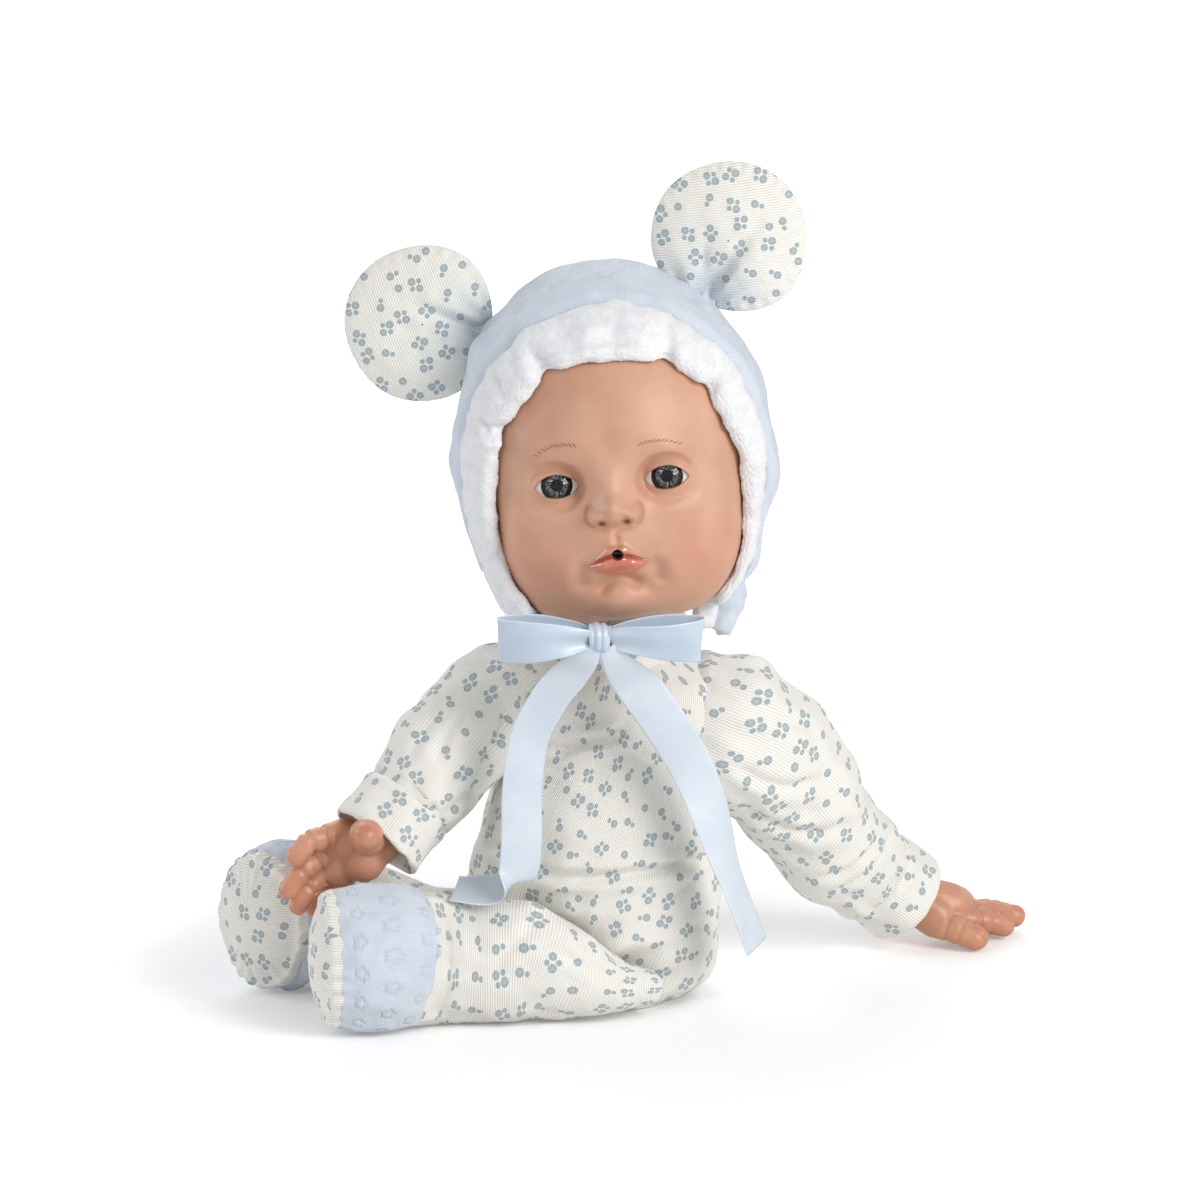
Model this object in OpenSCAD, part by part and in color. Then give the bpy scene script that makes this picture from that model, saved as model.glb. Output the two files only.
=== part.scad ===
// Soft-bodied baby doll with a vinyl head and hands, a lined bonnet with two round ears and a sound
// module in its back. It sits on the floor with both legs to its right and leans on its left hand.
// Frame: origin at the centre of the flat seat, +X to the doll's left, +Y behind it, +Z up.

/* [Seat and torso] */
// Radius of the flat seat disc
seat_r = 30; // [28:1:31]
// Thickness of the seat disc
seat_t = 1.6; // [1.2:0.2:2.4]
// Half width of the belly
belly_hw = 48; // [46:1:50]
// Half depth of the belly
belly_hd = 37; // [35:1:39]
// Half width of the chest under the arms
chest_hw = 37; // [35:1:38]
// Half depth of the chest
chest_hd = 29; // [27:1:31]
// Height of the neck opening above the seat
neck_z = 135; // [134:1:136]
// Thickness of the romper fabric with its lining
cloth_t = 1.6; // [1.2:0.2:2]
// Gap between the fabric and the filling
fill_gap = 0.4; // [0.3:0.1:0.6]

/* [Neck] */
// Radius of the spindle that the head turns on
spindle_r = 8; // [7:0.5:9]
// Running gap of the spindle in its socket
spindle_gap = 0.08; // [0.05:0.01:0.1]
// Radius of the nod pin
pin_r = 2.5; // [2:0.1:3]
// Running gap of the lugs on the nod pin
pin_gap = 0.05; // [0.03:0.01:0.1]
// Height of the nod pin above the seat
pin_z = 143; // [142:0.5:144]

/* [Head] */
// Half width of the head
head_hw = 50; // [48:1:51]
// Half height of the head
head_hh = 59; // [57:1:60]
// Half depth of the back of the head
head_hd = 57; // [55:1:58]
// Height of the middle of the head above the seat
head_z = 207; // [206:1:209]
// Wall of the vinyl head
vinyl_t = 3; // [2.5:0.25:3.5]
// Radius of an eyeball
eye_r = 11.5; // [11:0.25:12]
// Radius of the iris
iris_r = 5.8; // [5:0.2:6.2]
// Radius of the pacifier hole in the mouth cup
mouth_r = 1.9; // [1.6:0.1:2.2]
// Depth of the pacifier hole in front of the plunger
mouth_depth = 9; // [8:0.5:10]

/* [Bonnet] */
// Gap between the head and the bonnet's lining
bonnet_gap = 1.2; // [1:0.1:1.5]
// Thickness of the plush lining
lining_t = 4.2; // [3:0.2:5]
// Thickness of the knitted outer layer
knit_t = 2.5; // [1.5:0.25:3]
// Radius of an ear
ear_r = 28; // [26:1:29]
// Half thickness of an ear
ear_ht = 6; // [5:0.5:7]
// Width of the satin ribbon
ribbon_w = 16; // [14:1:17]
// Thickness of the satin ribbon
ribbon_t = 0.8; // [0.6:0.1:1]

/* [Arms and legs] */
// Radius of a sleeve
sleeve_r = 20; // [19:0.5:21]
// Radius of the sleeve's round root
root_r = 19; // [18:0.5:20]
// Gap round the sleeve's root
joint_gap = 0.6; // [0.5:0.1:1]
// Length of the turned cuff
cuff_l = 18; // [15:1:20]
// Radius of the wrist plug of a hand
wrist_r = 8; // [7:0.5:9]
// Half height of a leg
leg_r = 21.5; // [20:0.5:22]
// Half height of a foot
foot_r = 27.5; // [26:0.5:28]

/* [Sound module] */
// Width of the module case
case_w = 46; // [44:1:50]
// Height of the module case
case_h = 58; // [56:1:60]
// Depth of the module case
case_d = 22; // [20:1:24]
// Wall of the module case
case_t = 1.6; // [1.4:0.1:2]
// Diameter of one battery
cell_d = 10.5; // [10:0.5:11]
// Length of one battery
cell_l = 44.5; // [40:0.5:45]
// Travel of the power switch
switch_travel = 3; // [2:0.5:4]
// Travel of the mouth plunger
plunger_travel = 2; // [1.5:0.5:2.5]

/* [Hidden] */
$fn = 48;

// ---- shared maths ----
function unit(v) = v / norm(v);
function mix(a, b, t) = a + (b - a) * t;
function flip(list) = [for (i = [len(list) - 1:-1:0]) list[i]];
// A point p moved towards m until it is out of the ellipsoid at c with half sizes h
function over(v, h) = [v[0] / h[0], v[1] / h[1], v[2] / h[2]];
function pushed(p, m, c, h) = let (q = over(p - c, h), u = over(m - p, h), d = q * u, e = q * q - 1)
    e >= 0 ? p : p + (m - p) * min(0.9, (sqrt(d * d - u * u * e) - d) / (u * u));
function cleared(p, m, list, grow, k = 0) = k >= len(list) ? p
    : cleared(pushed(p, m, list[k][0], list[k][1] + [grow, grow, grow]), m, list, grow, k + 1);
// Catmull-Rom point on a list of vectors
function at(list, i) = list[max(0, min(len(list) - 1, i))];
function curve(list, u) = let (i = min(floor(u), len(list) - 2), t = u - i, a = at(list, i - 1),
    b = at(list, i), c = at(list, i + 1), d = at(list, i + 2))
    0.5 * (2 * b + (c - a) * t + (2 * a - 5 * b + 4 * c - d) * t * t + (3 * b - a - 3 * c + d) * t * t * t);
function resample(list, per) = [for (k = [0:(len(list) - 1) * per]) curve(list, k / per)];

// A closed solid through equal rings of points, with flat ends, or joined end to start when loop is true
// swap turns the diagonals of its quads, so that it nests with a surface that was built in reverse
module skin(rings, loop = false, swap = false) {
    n = len(rings[0]);
    m = len(rings);
    last = loop ? m - 1 : m - 2;
    sides = [for (k = [0:last], i = [0:n - 1]) let (a = k * n, b = ((k + 1) % m) * n, j = (i + 1) % n)
        each swap ? [[a + i, b + i, a + j], [b + i, b + j, a + j]]
            : [[a + i, b + i, b + j], [a + i, b + j, a + j]]];
    ends = loop ? [] : [[for (i = [0:n - 1]) i], [for (i = [n - 1:-1:0]) (m - 1) * n + i]];
    polyhedron([for (r = rings) each r], concat(sides, ends), convexity = 8);
}

// Rings across a path of stations [x, y, z, half_width, half_height]; grow changes both half sizes
function spot(s) = [s[0], s[1], s[2]];
function across(t) = norm([t[0], t[1]]) < 0.01 ? [1, 0, 0] : unit(cross([0, 0, 1], t));
function ring_at(s, t, grow, n) = let (side = across(t), up = cross(t, side))
    [for (i = [0:n - 1]) spot(s) + side * (s[3] + grow) * cos(360 * i / n)
        + up * (s[4] + grow) * sin(360 * i / n)];
function heading(list, k) = unit(spot(at(list, k + 1)) - spot(at(list, k - 1)));
function tube(list, grow, n) = [for (k = [0:len(list) - 1]) ring_at(list[k], heading(list, k), grow, n)];
// Rings over a round end of a path: t points from its section to its tip, and the angles run tip to section
function cap_rings(s, t, depth, grow, n, angles, travel) = [for (a = angles)
    ring_at([each (spot(s) + t * (depth + grow) * cos(a)), (s[3] + grow) * sin(a), (s[4] + grow) * sin(a)],
        travel, 0, n)];

// ---- places ----
neck_xy = [8, -4];
seat_top = seat_t;
socket_t = 2;
flange_t = 2.5;
swivel_foot = 116.5;
// Arm stations from shoulder to cuff seam: x, y, z, half width, half height
cuff_r = sleeve_r - 3;
ARM_L = [[54, 2, 107, root_r, root_r], [62, 13, 88, sleeve_r, sleeve_r + 0.5],
    [76, 29, 63, sleeve_r, sleeve_r + 0.5], [88, 42, 42.5, sleeve_r - 1, sleeve_r - 0.5],
    [100, 52, 31, cuff_r, cuff_r]];
ARM_R = [[-43, -3, 106, root_r, root_r], [-52, -12, 98, sleeve_r, sleeve_r],
    [-61, -19, 88.5, sleeve_r, sleeve_r + 0.5], [-70, -25, 78.5, cuff_r, cuff_r]];
function cuff_start(arm) = spot(arm[len(arm) - 1]);
function cuff_way(arm) = let (fine = resample(arm, 3)) heading(fine, len(fine) - 1);
// Leg stations from hip to ankle, then the foot: x, y, z, half width, half height
leg_hw = leg_r - 4.5;
foot_hw = foot_r - 6.5;
lift = 0.4;
LEG_L = [[17, -34.5, 12, 6.5, 7.5], [5, -37.5, 13, 9, 9.5], [-10, -41, 16.5 + lift, 13, 16.5],
    [-26, -41, leg_r + lift, leg_hw, leg_r], [-45, -40.5, leg_r + lift, leg_hw, leg_r],
    [-61, -42, leg_r + lift, leg_hw, leg_r]];
FOOT_L = [[-68, -48, foot_r - 2 + lift, foot_hw - 2, foot_r - 2], [-80, -54, foot_r + lift, foot_hw, foot_r],
    [-97, -57.5, foot_r + lift, foot_hw - 1, foot_r - 1]];
LEG_R = [[-41, -11, 18, 8, 9.5], [-51, -8, 19.5 + lift, 12.5, 17], [-70, -3, leg_r + lift, leg_hw - 1, leg_r],
    [-91, 4, leg_r + lift, leg_hw, leg_r]];
FOOT_R = [[-104, 6.5, foot_r - 2.5 + lift, foot_hw - 2, foot_r - 2.5],
    [-114, 4, foot_r + lift, foot_hw, foot_r],
    [-122, -3, foot_r + lift, foot_hw - 0.5, foot_r - 1]];
sole_l = 9;
// Half sizes of the hollows that the limbs press into the torso
function hollows(path, spare) = [for (s = path) [spot(s), [s[3] + spare, s[3] + spare, s[4] + spare]]];
DENTS = concat(hollows(resample(ARM_L, 3), 0.8), hollows(resample(ARM_R, 3), 1.5),
    hollows(resample(LEG_L, 2), 1.8), hollows(resample(LEG_R, 3), 2.9));

// ---- torso ----
// Stations from the seat up: x, y, half width, half depth, height
TORSO = [[-1, 0, seat_r + 3, seat_r - 3, seat_top], [-2, 0, belly_hw - 5, belly_hd - 3, seat_top + 5],
    [-3, 0, belly_hw - 0.5, belly_hd - 0.5, 18], [-3, 0, belly_hw, belly_hd, 38],
    [-1, 0, belly_hw - 3, belly_hd - 2, 58],
    [2, -1, mix(belly_hw, chest_hw, 0.5), mix(belly_hd, chest_hd, 0.5), 78],
    [5, -2, chest_hw + 1, chest_hd, 96], [6.5, -3, chest_hw, chest_hd - 2.5, 111],
    [7.5, -4, chest_hw - 6, chest_hd - 6.5, 121], [8, -4, 15.4, 15.4, neck_z - 6],
    [8, -4, 14.5, 14.5, neck_z]];
function torso_ring(s, grow, n) = [for (i = [0:n - 1]) let (c = cos(360 * i / n), q = sin(360 * i / n))
    cleared([s[0] + (s[2] + grow) * sign(c) * pow(abs(c), 0.92),
        s[1] + (s[3] + grow) * sign(q) * pow(abs(q), 0.92),
        s[4]], [s[0], s[1], s[4]], DENTS, joint_gap - grow)];
function torso_rings(grow, n = 32) = let (list = resample(TORSO, 2))
    [for (k = [0:len(list) - 1]) let (s = list[k])
        torso_ring([s[0], s[1], s[2], s[3], k == 0 ? seat_top - min(grow, 0) : s[4]], grow, n)];

module seat_gusset() color("whitesmoke") cylinder(r = seat_r, h = seat_t, $fn = 64);

pocket_w = case_w - 8;
pocket_z = [24, 70];
module pocket_window(grow) translate([-pocket_w / 2 - grow, 0, pocket_z[0] - grow])
    cube([pocket_w + 2 * grow, 60, pocket_z[1] - pocket_z[0] + 2 * grow]);

module romper_torso() color("ivory") difference() {
    skin(concat(torso_rings(0), flip(torso_rings(-cloth_t))));
    pocket_window(0);
}

case_y = 2;
case_z = 18;
pellet_r = 19;
pellet_h = 14;
pellet_y = 7;
pellet_z = seat_top + cloth_t;
lead_r = 1.2;
LEAD = [[8, 12, case_z + case_h], [8, 12, 84], [8, 9, 90], [8, 2, 98], [8, -4, 105], [8, -4, 112],
    [8, -4, 124], [8, -4, neck_z - 1]];

module torso_filling() color("white") difference() {
    skin(torso_rings(-cloth_t - fill_gap), swap = true);
    translate([-case_w / 2 - fill_gap, case_y - fill_gap, case_z - fill_gap])
        cube([case_w + 2 * fill_gap, 60, case_h + 2 * fill_gap]);
    translate([0, pellet_y, -1]) cylinder(r = pellet_r + fill_gap, h = pellet_z + pellet_h + fill_gap + 1);
    translate([each neck_xy, swivel_foot - 4]) cylinder(r = 13, h = 60);
    translate([each neck_xy, case_z + case_h - 1]) cylinder(r = 4, h = 60);
    translate([neck_xy[0], neck_xy[1], case_z + case_h - 1]) translate([-4, 0, 0]) cube([8, 20, 34]);
}

module pellet_bag() color("tan") translate([0, pellet_y, pellet_z])
    rotate_extrude() union() {
        square([pellet_r - 4, pellet_h]);
        translate([0, 4]) square([pellet_r, pellet_h - 8]);
        translate([pellet_r - 4, 4]) circle(r = 4);
        translate([pellet_r - 4, pellet_h - 4]) circle(r = 4);
    }

module tube_ring(r, hole, z, h) translate([each neck_xy, z]) difference() {
    cylinder(r = r, h = h);
    translate([0, 0, -1]) cylinder(r = hole, h = h + 2);
}

module neck_collar() color("ivory") tube_ring(18.2, 16.2, neck_z - 6, 7);
module neck_tie() color("gray") tube_ring(16, 15.2, neck_z - 2.5, 2.5);
module neck_socket() color("white") union() {
    tube_ring(14.5 - cloth_t - 0.5, spindle_r + spindle_gap, swivel_foot + flange_t + 0.2,
        neck_z - swivel_foot - flange_t - 0.2);
    tube_ring(14.4, spindle_r + spindle_gap, neck_z + 0.1, 1.4);
}

flap_t = 1.4;
strip_t = 0.9;
module back_layer(low, high) difference() {
    intersection() {
        skin(torso_rings(high));
        children();
    }
    skin(torso_rings(low));
}
module back_flap() color("ivory") back_layer(strip_t + 0.2, strip_t + 0.2 + flap_t) pocket_window(6);
module closure_strips() color("white") for (side = [-1, 1]) back_layer(0.1, 0.1 + strip_t)
    translate([side * (pocket_w / 2 + 3) - 2, 10, pocket_z[0]]) cube([4, 60, pocket_z[1] - pocket_z[0]]);

// ---- sound module ----
fit = 0.3;
front_d = 14;
board_y = case_y + case_t + 5.3;
board_t = 1.6;
tray_y = board_y + board_t + 0.1;
tray_t = 1;
cell_y = tray_y + tray_t + cell_d / 2;
back_y = case_y + case_d;
plate_y = back_y - case_t;
cell_z = case_z + case_t + 2.2;
door_w = 3 * cell_d + 0.8;
door_z = [cell_z - 0.5, cell_z + cell_l + 7.5];
boss_r = 2.4;
boss_x = case_w / 2 - boss_r - 0.2;
boss_z = [case_z + 3.6, case_z + case_h - 3.6];
screw_r = 1;
switch_x = case_w / 2 - 3.4;
switch_z = case_z + 0.45 * case_h;
module box(low, high) translate(low) cube(high - low);
module bar_y(x, z, r, y0, y1) translate([x, y1, z]) rotate([90, 0, 0]) cylinder(r = r, h = y1 - y0);

module case_front() color("silver") difference() {
    union() {
        difference() {
            box([-case_w / 2, case_y, case_z], [case_w / 2, case_y + front_d, case_z + case_h]);
            box([-case_w / 2 + case_t, case_y + case_t, case_z + case_t],
                [case_w / 2 - case_t, case_y + front_d + 1, case_z + case_h - case_t]);
        }
        for (x = [-boss_x, boss_x], z = boss_z) bar_y(x, z, boss_r, case_y + 1, case_y + front_d);
    }
    for (x = [-boss_x, boss_x], z = boss_z) bar_y(x, z, screw_r, case_y + 5, case_y + front_d + 1);
    for (x = [-8:4:8], z = [-8:4:8]) bar_y(x, case_z + case_h / 2 + z, 1, case_y - 1, case_y + case_t + 1);
    translate([neck_xy[0], LEAD[0][1], case_z + case_h - case_t - 1]) cylinder(r = lead_r + 0.4, h = 5);
}

module case_back() color("silver") difference() {
    union() {
        difference() {
            box([-case_w / 2, case_y + front_d, case_z], [case_w / 2, back_y, case_z + case_h]);
            box([-case_w / 2 + case_t, case_y, case_z + case_t],
                [case_w / 2 - case_t, plate_y, case_z + case_h - case_t]);
        }
        for (x = [-boss_x, boss_x], z = boss_z) bar_y(x, z, boss_r, case_y + front_d, back_y);
    }
    box([-door_w / 2 - fit, plate_y - 1, door_z[0] - fit], [door_w / 2 + fit, back_y + 1, door_z[1] + fit]);
    for (x = [-boss_x, boss_x], z = boss_z) bar_y(x, z, screw_r + 0.2, case_y, back_y + 1);
    box([switch_x - 1.3, plate_y - 1, switch_z - 1.8],
        [switch_x + 1.3, back_y + 1, switch_z + switch_travel + 1.8]);
}

module battery_door() color("gainsboro") difference() {
    box([-door_w / 2, plate_y, door_z[0]], [door_w / 2, back_y, door_z[1]]);
    bar_y(0, door_z[1] - 3.5, screw_r + 0.2, plate_y - 1, back_y + 1);
}

module screw(x, z, y0) {
    bar_y(x, z, screw_r, y0, back_y);
    bar_y(x, z, 1.9, back_y, back_y + 1);
}
module module_screws() color("dimgray") {
    for (x = [-boss_x, boss_x], z = boss_z) screw(x, z, case_y + 5.2);
    screw(0, door_z[1] - 3.5, tray_y + tray_t + 1);
}

module circuit_board() color("green")
    box([-case_w / 2 + case_t + 0.2, board_y, boss_z[0] + 3],
        [case_w / 2 - case_t - 0.2, board_y + board_t, boss_z[1] - 3]);

speaker_r = 14;
module speaker() color("black") union() {
    bar_y(0, case_z + case_h / 2, speaker_r, case_y + case_t, case_y + case_t + 2.5);
    bar_y(0, case_z + case_h / 2, 7, case_y + case_t + 2, board_y);
}

tray_hw = door_w / 2;
module battery_tray() color("gray") difference() {
    union() {
        box([-tray_hw, tray_y, door_z[0]], [tray_hw, tray_y + tray_t, door_z[1]]);
        for (z = [cell_z - 1.2, cell_z + cell_l + 0.2])
            box([-tray_hw, tray_y, z], [tray_hw, plate_y - 0.2, z + 1]);
        bar_y(0, door_z[1] - 3.5, 2.6, tray_y, plate_y - 0.2);
    }
    bar_y(0, door_z[1] - 3.5, screw_r, tray_y + tray_t + 0.8, back_y);
}

module batteries() color("gold") for (k = [-1, 0, 1])
    translate([k * cell_d, cell_y, cell_z + 0.2]) {
        cylinder(d = cell_d - 0.05, h = cell_l - 1.6);
        cylinder(r = 1.8, h = cell_l - 0.6);
    }

module battery_contacts() color("gold") for (k = [-1, 0, 1], z = [cell_z - 0.2, cell_z + cell_l - 0.4])
    box([k * cell_d - 3, cell_y - 3, z], [k * cell_d + 3, cell_y + 3, z + 0.4]);

module body_lead() color("red") skin(tube([for (p = LEAD) [each p, lead_r, lead_r]], 0, 8));

module power_slider() color("black") union() {
    box([switch_x - 1, plate_y - 0.5, switch_z - 1.5], [switch_x + 1, back_y + 1.2, switch_z + 1.5]);
    box([switch_x - 1.4, plate_y - 1.6, switch_z - 3.5], [switch_x + 1.4, plate_y - 0.2, switch_z + 3.5]);
}

// ---- neck and bow ----
module neck_swivel() color("white") difference() {
    translate([each neck_xy, swivel_foot]) union() {
        cylinder(r = spindle_r + 3, h = flange_t);
        cylinder(r = spindle_r, h = neck_z + 2.6 - swivel_foot);
        translate([-4.5, -5.5, neck_z + 1.9 - swivel_foot]) cube([9, 11, pin_z + 1.6 - neck_z]);
    }
    translate([each neck_xy, 0]) cylinder(r = lead_r + 0.8, h = neck_z + 1);
    nod_bore(pin_r);
}
module nod_bore(r, half = 30) translate([neck_xy[0] - half, neck_xy[1], pin_z]) rotate([0, 90, 0])
    cylinder(r = r, h = 2 * half);
pin_half = 10;
module nod_pin() color("silver") nod_bore(pin_r, pin_half);

knot_at = [0, -58, 148];
knot_hw = 3.4;
loop_l = 32;
module bow_knot() color("lightblue") hull() for (x = [-1, 1], z = [-1, 1])
    translate(knot_at + [x * 1.6, 0, z * 3.8]) sphere(r = 2.4, $fn = 12);

function loop_outline(side, inset) = [for (a = [0:15:345]) let (t = (1 - cos(a)) / 2)
    [side * (knot_hw + 1.4 + inset + (loop_l - 2 * inset) * t), (5 - inset) * sin(a) * mix(0.55, 1, t)]];
module bow_loops() color("lightblue") for (side = [-1, 1])
    translate([knot_at[0], knot_at[1], knot_at[2] - ribbon_w / 2]) linear_extrude(ribbon_w) difference() {
        polygon(loop_outline(side, 0));
        polygon(loop_outline(side, ribbon_t));
    }

// A flat ribbon along stations x, y, z and the direction of its width
function tape_ring(s, t, w) = let (side = unit([s[3], s[4], s[5]]), up = unit(cross(t, side)))
    [for (c = [[1, 1], [-1, 1], [-1, -1], [1, -1]])
        spot(s) + side * c[0] * w / 2 + up * c[1] * ribbon_t / 2];
module tape(list, w = ribbon_w) let (fine = resample(list, 3))
    skin([for (k = [0:len(fine) - 1]) tape_ring(fine[k], heading(fine, k), w)]);
TAIL_L = [[8.5, -55, 139.5, 1, 0, 0], [13, -50, 127.5, 1, 0, 0.5], [28, -45, 105, 1, 0.1, 0.5],
    [37, -42, 86, 1, 0.25, 0.35], [46, -41, 56, 1, 0.3, 0.15], [54, -40, 32, 1, 0.25, 0.1]];
TAIL_R = [[-9, -55, 139.5, 1, 0, 0], [-14, -51, 126, 1, 0, -0.5], [-24, -48.5, 109, 1, -0.1, -0.1],
    [-27, -47, 90, 1, -0.1, 0], [-28, -46.5, 68, 1, -0.1, 0], [-31, -46, 56, 0.8, -0.1, 0.6],
    [-40, -43, 52, 0.2, 0.4, 0.9], [-52, -38, 50, 0, 0.6, 0.8]];
module ribbon_tail_left() color("lightblue") tape(TAIL_L);
module ribbon_tail_right() color("lightblue") tape(TAIL_R);

// ---- head, in its own frame: +X to the doll's left, the face towards -Y ----
head_at = [5, -6, head_z];
head_turn = [-8, -5.5, -1.5];
module in_head() translate(head_at) rotate(head_turn) children();
function bump(a, e, a0, e0, wa, we, h) = h * exp(-pow((a - a0) / wa, 2) - pow((e - e0) / we, 2));
function both(a, e, a0, e0, wa, we, h) = bump(a, e, a0, e0, wa, we, h) + bump(a, e, -a0, e0, wa, we, h);
// Distance of the skin from the head's centre at a turn a from the face and a rise e above it
function jaw(a, e) = 11 * exp(-pow((e + 61) / 18, 2) - pow(abs(a) / 84, 6))
    + both(a, e, 62, -45, 26, 14, 4.5);
function features(a, e) = jaw(a, e) + both(a, e, 42, -30, 20, 17, 3.4) + bump(a, e, 0, -16, 7, 7, 6.5)
    + both(a, e, 9, -18, 5, 5, 2.2) + bump(a, e, 0, -34, 11, 6, 2.6) + bump(a, e, 0, -51, 14, 8, 3.4)
    + both(a, e, 23, -8, 9, 6, -2.6) + both(a, e, 24, 7, 14, 7, 1.2) + bump(a, e, 0, -5, 7, 8, -0.8);
function head_r(d) = 1 / norm([d[0] / head_hw, d[1] / (d[1] < 0 ? head_hh - 6 : head_hd),
    d[2] / (d[2] < 0 ? head_hh - 1.5 : head_hh + 1)]) + features(atan2(d[0], -d[1]), asin(d[2]));
function toward(a, e) = [sin(a) * cos(e), -cos(a) * cos(e), sin(e)];
module head_form(inset, n, m) skin([for (k = [0:m - 1]) let (e = mix(-86, 86, k / (m - 1)))
    [for (i = [0:n - 1]) let (d = toward(360 * i / n, e)) d * (head_r(d) - inset)]]);

neck_local = [-2.3, 9.7];
neck_hole = 20;
eye_at = [19.7, -33.6, -8.6];
mouth_at = [0, -46.8, -34.6];
cup_r = 3.6;
cup_l = mouth_depth + 9;
module at_eyes() for (side = [-1, 1]) translate([side * eye_at[0], eye_at[1], eye_at[2]]) children();
module eye_opening() rotate([90, 0, 0]) linear_extrude(30) intersection() {
    translate([0, -8.6]) circle(r = 12.6);
    translate([0, 8.6]) circle(r = 12.6);
}

module head_shell() color("burlywood") in_head() difference() {
    head_form(0, 44, 28);
    head_form(vinyl_t, 20, 14);
    translate([each neck_local, -90]) cylinder(r = neck_hole, h = 50);
    at_eyes() sphere(r = eye_r + 0.2);
    at_eyes() eye_opening();
    translate(mouth_at) rotate([90, 0, 0]) translate([0, 0, -20]) cylinder(r = cup_r + 0.1, h = 40);
}

lug_gap = 0.3;
module neck_plate() color("white") difference() {
    union() {
        in_head() translate([each neck_local, -55.5]) {
            cylinder(r = neck_hole - 0.25, h = 5);
            translate([0, 0, 4.5]) cylinder(r = neck_hole - 0.25, h = 3);
        }
        for (side = [-1, 1]) hull() {
            translate([neck_xy[0] + side * (4.5 + lug_gap + 1.25), neck_xy[1], pin_z]) rotate([0, 90, 0])
                cylinder(r = 4.6, h = 2.5, center = true);
            translate([neck_xy[0] + side * (4.5 + lug_gap + 1.25) - 1.25, neck_xy[1] - 5, pin_z + 9])
                cube([2.5, 10, 3]);
        }
    }
    nod_bore(pin_r + pin_gap);
    translate([each neck_xy, pin_z]) cylinder(r = lead_r + 0.4, h = 30);
}

pocket_at = eye_r - 3;
module turned_ball(r) rotate([90, 0, 0]) rotate_extrude() intersection() {
    circle(r = r);
    children();
}
module eyeballs() color("white") in_head() at_eyes() turned_ball(eye_r) difference() {
    translate([0, -eye_r]) square([eye_r, 2 * eye_r]);
    translate([-1, pocket_at]) square([iris_r + 1.05, eye_r]);
}
module irises() color("dimgray") in_head() at_eyes() rotate([90, 0, 0])
    translate([0, 0, pocket_at]) cylinder(r = iris_r, h = 0.7);
module corneas() color("lightcyan") in_head() at_eyes() turned_ball(eye_r)
    translate([0, pocket_at + 0.75]) square([iris_r, eye_r]);

chamber_r = cup_r - 1;
module from_mouth(depth) in_head() translate([mouth_at[0], mouth_at[1] + depth, mouth_at[2]])
    rotate([-90, 0, 0]) children();
module mouth_cup() color("darksalmon") difference() {
    union() {
        from_mouth(0) cylinder(r = cup_r, h = cup_l);
        from_mouth(cup_l - 4) cylinder(r = cup_r + 2.5, h = 4);
    }
    from_mouth(-1) cylinder(r = mouth_r, h = cup_l + 2);
    from_mouth(mouth_depth) cylinder(r = chamber_r, h = cup_l);
}
module mouth_plunger() color("white") from_mouth(mouth_depth + 0.2) cylinder(r = chamber_r - 0.1, h = 5);
module mouth_switch() color("black") union() {
    from_mouth(cup_l) cylinder(r = cup_r + 2.5, h = 1.6);
    from_mouth(mouth_depth + 5.4 + plunger_travel)
        cylinder(r = 1.4, h = cup_l - mouth_depth - 4.9 - plunger_travel);
    from_mouth(cup_l + 1.5) translate([-3, -3, 0]) cube([6, 6, 3]);
}
HEAD_LEAD = [[4, mouth_at[1] + cup_l + 4.8, mouth_at[2] + 1], [3, -22, -38], [1, -10, -42],
    [-1, 2, -44], [-1.4, 8.4, -46], [-1.8, 9.2, -49.6]];
module head_lead() color("red") in_head() skin(tube([for (p = HEAD_LEAD) [each p, lead_r, lead_r]], 0, 8));

// ---- bonnet: caps over the head, told by the angle rho from a pole at the back and a roll phi ----
pole = [0, cos(20), sin(20)];
crown = [0, -sin(20), cos(20)];
RIM = [[0, 99], [40, 102], [80, 105], [115, 108], [145, 112], [155, 92], [165, 76], [180, 66]];
function rim(phi) = lookup(abs(phi > 180 ? phi - 360 : phi), RIM);
function cap_dir(rho, phi) = cos(rho) * pole + sin(rho) * (cos(phi) * crown - [sin(phi), 0, 0]);
function cap_point(rho, phi, h) = let (d = cap_dir(rho, phi)) d * (head_r(d) + h);
function cap_ring(part, h, n) = [for (i = [0:n - 1]) let (phi = 360 * i / n)
    cap_point(mix(4, rim(phi), part), phi, h)];
module cap(low, high, trim, swap, n = 36, steps = 8)
    let (parts = [for (k = [0:steps]) (1 - trim) * k / steps])
    in_head() skin(concat([for (p = parts) cap_ring(p, high, n)],
        [for (p = flip(parts)) cap_ring(p, low, n)]), swap = swap);
module bonnet_lining() color("white") cap(bonnet_gap, bonnet_gap + lining_t, 0.01, false);
module bonnet_shell() color("lightblue")
    cap(bonnet_gap + lining_t + 0.3, bonnet_gap + lining_t + knit_t, 0.01, true);

// Half width of the rolled brim, in degrees round the head
BRIM = [[0, 10.5], [40, 8], [80, 5.5], [145, 4], [160, 2.5], [180, 2.5]];
brim_h = (lining_t + knit_t + 1) / 2;
module bonnet_brim() color("white") let (n = 48) in_head() skin([for (i = [0:n - 1]) let (phi = 360 * i / n,
    w = lookup(min(phi, 360 - phi), BRIM)) [for (k = [0:7]) let (a = 45 * k + 22.5)
        cap_point(rim(phi) + 0.6 + w * (1 + cos(a) / cos(22.5)), phi,
            bonnet_gap + brim_h * (1 + sin(a) / cos(22.5)))]],
    loop = true);

// Ears: a round cushion of two fabric panels over wadding, from a root on the bonnet
bonnet_h = bonnet_gap + lining_t + knit_t;
EARS = [[[-0.69, 0.02, 0.724], [-0.98, 0, 0.2]], [[0.6, 0.02, 0.8], [0.44, 0, 0.9]]];
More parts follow.
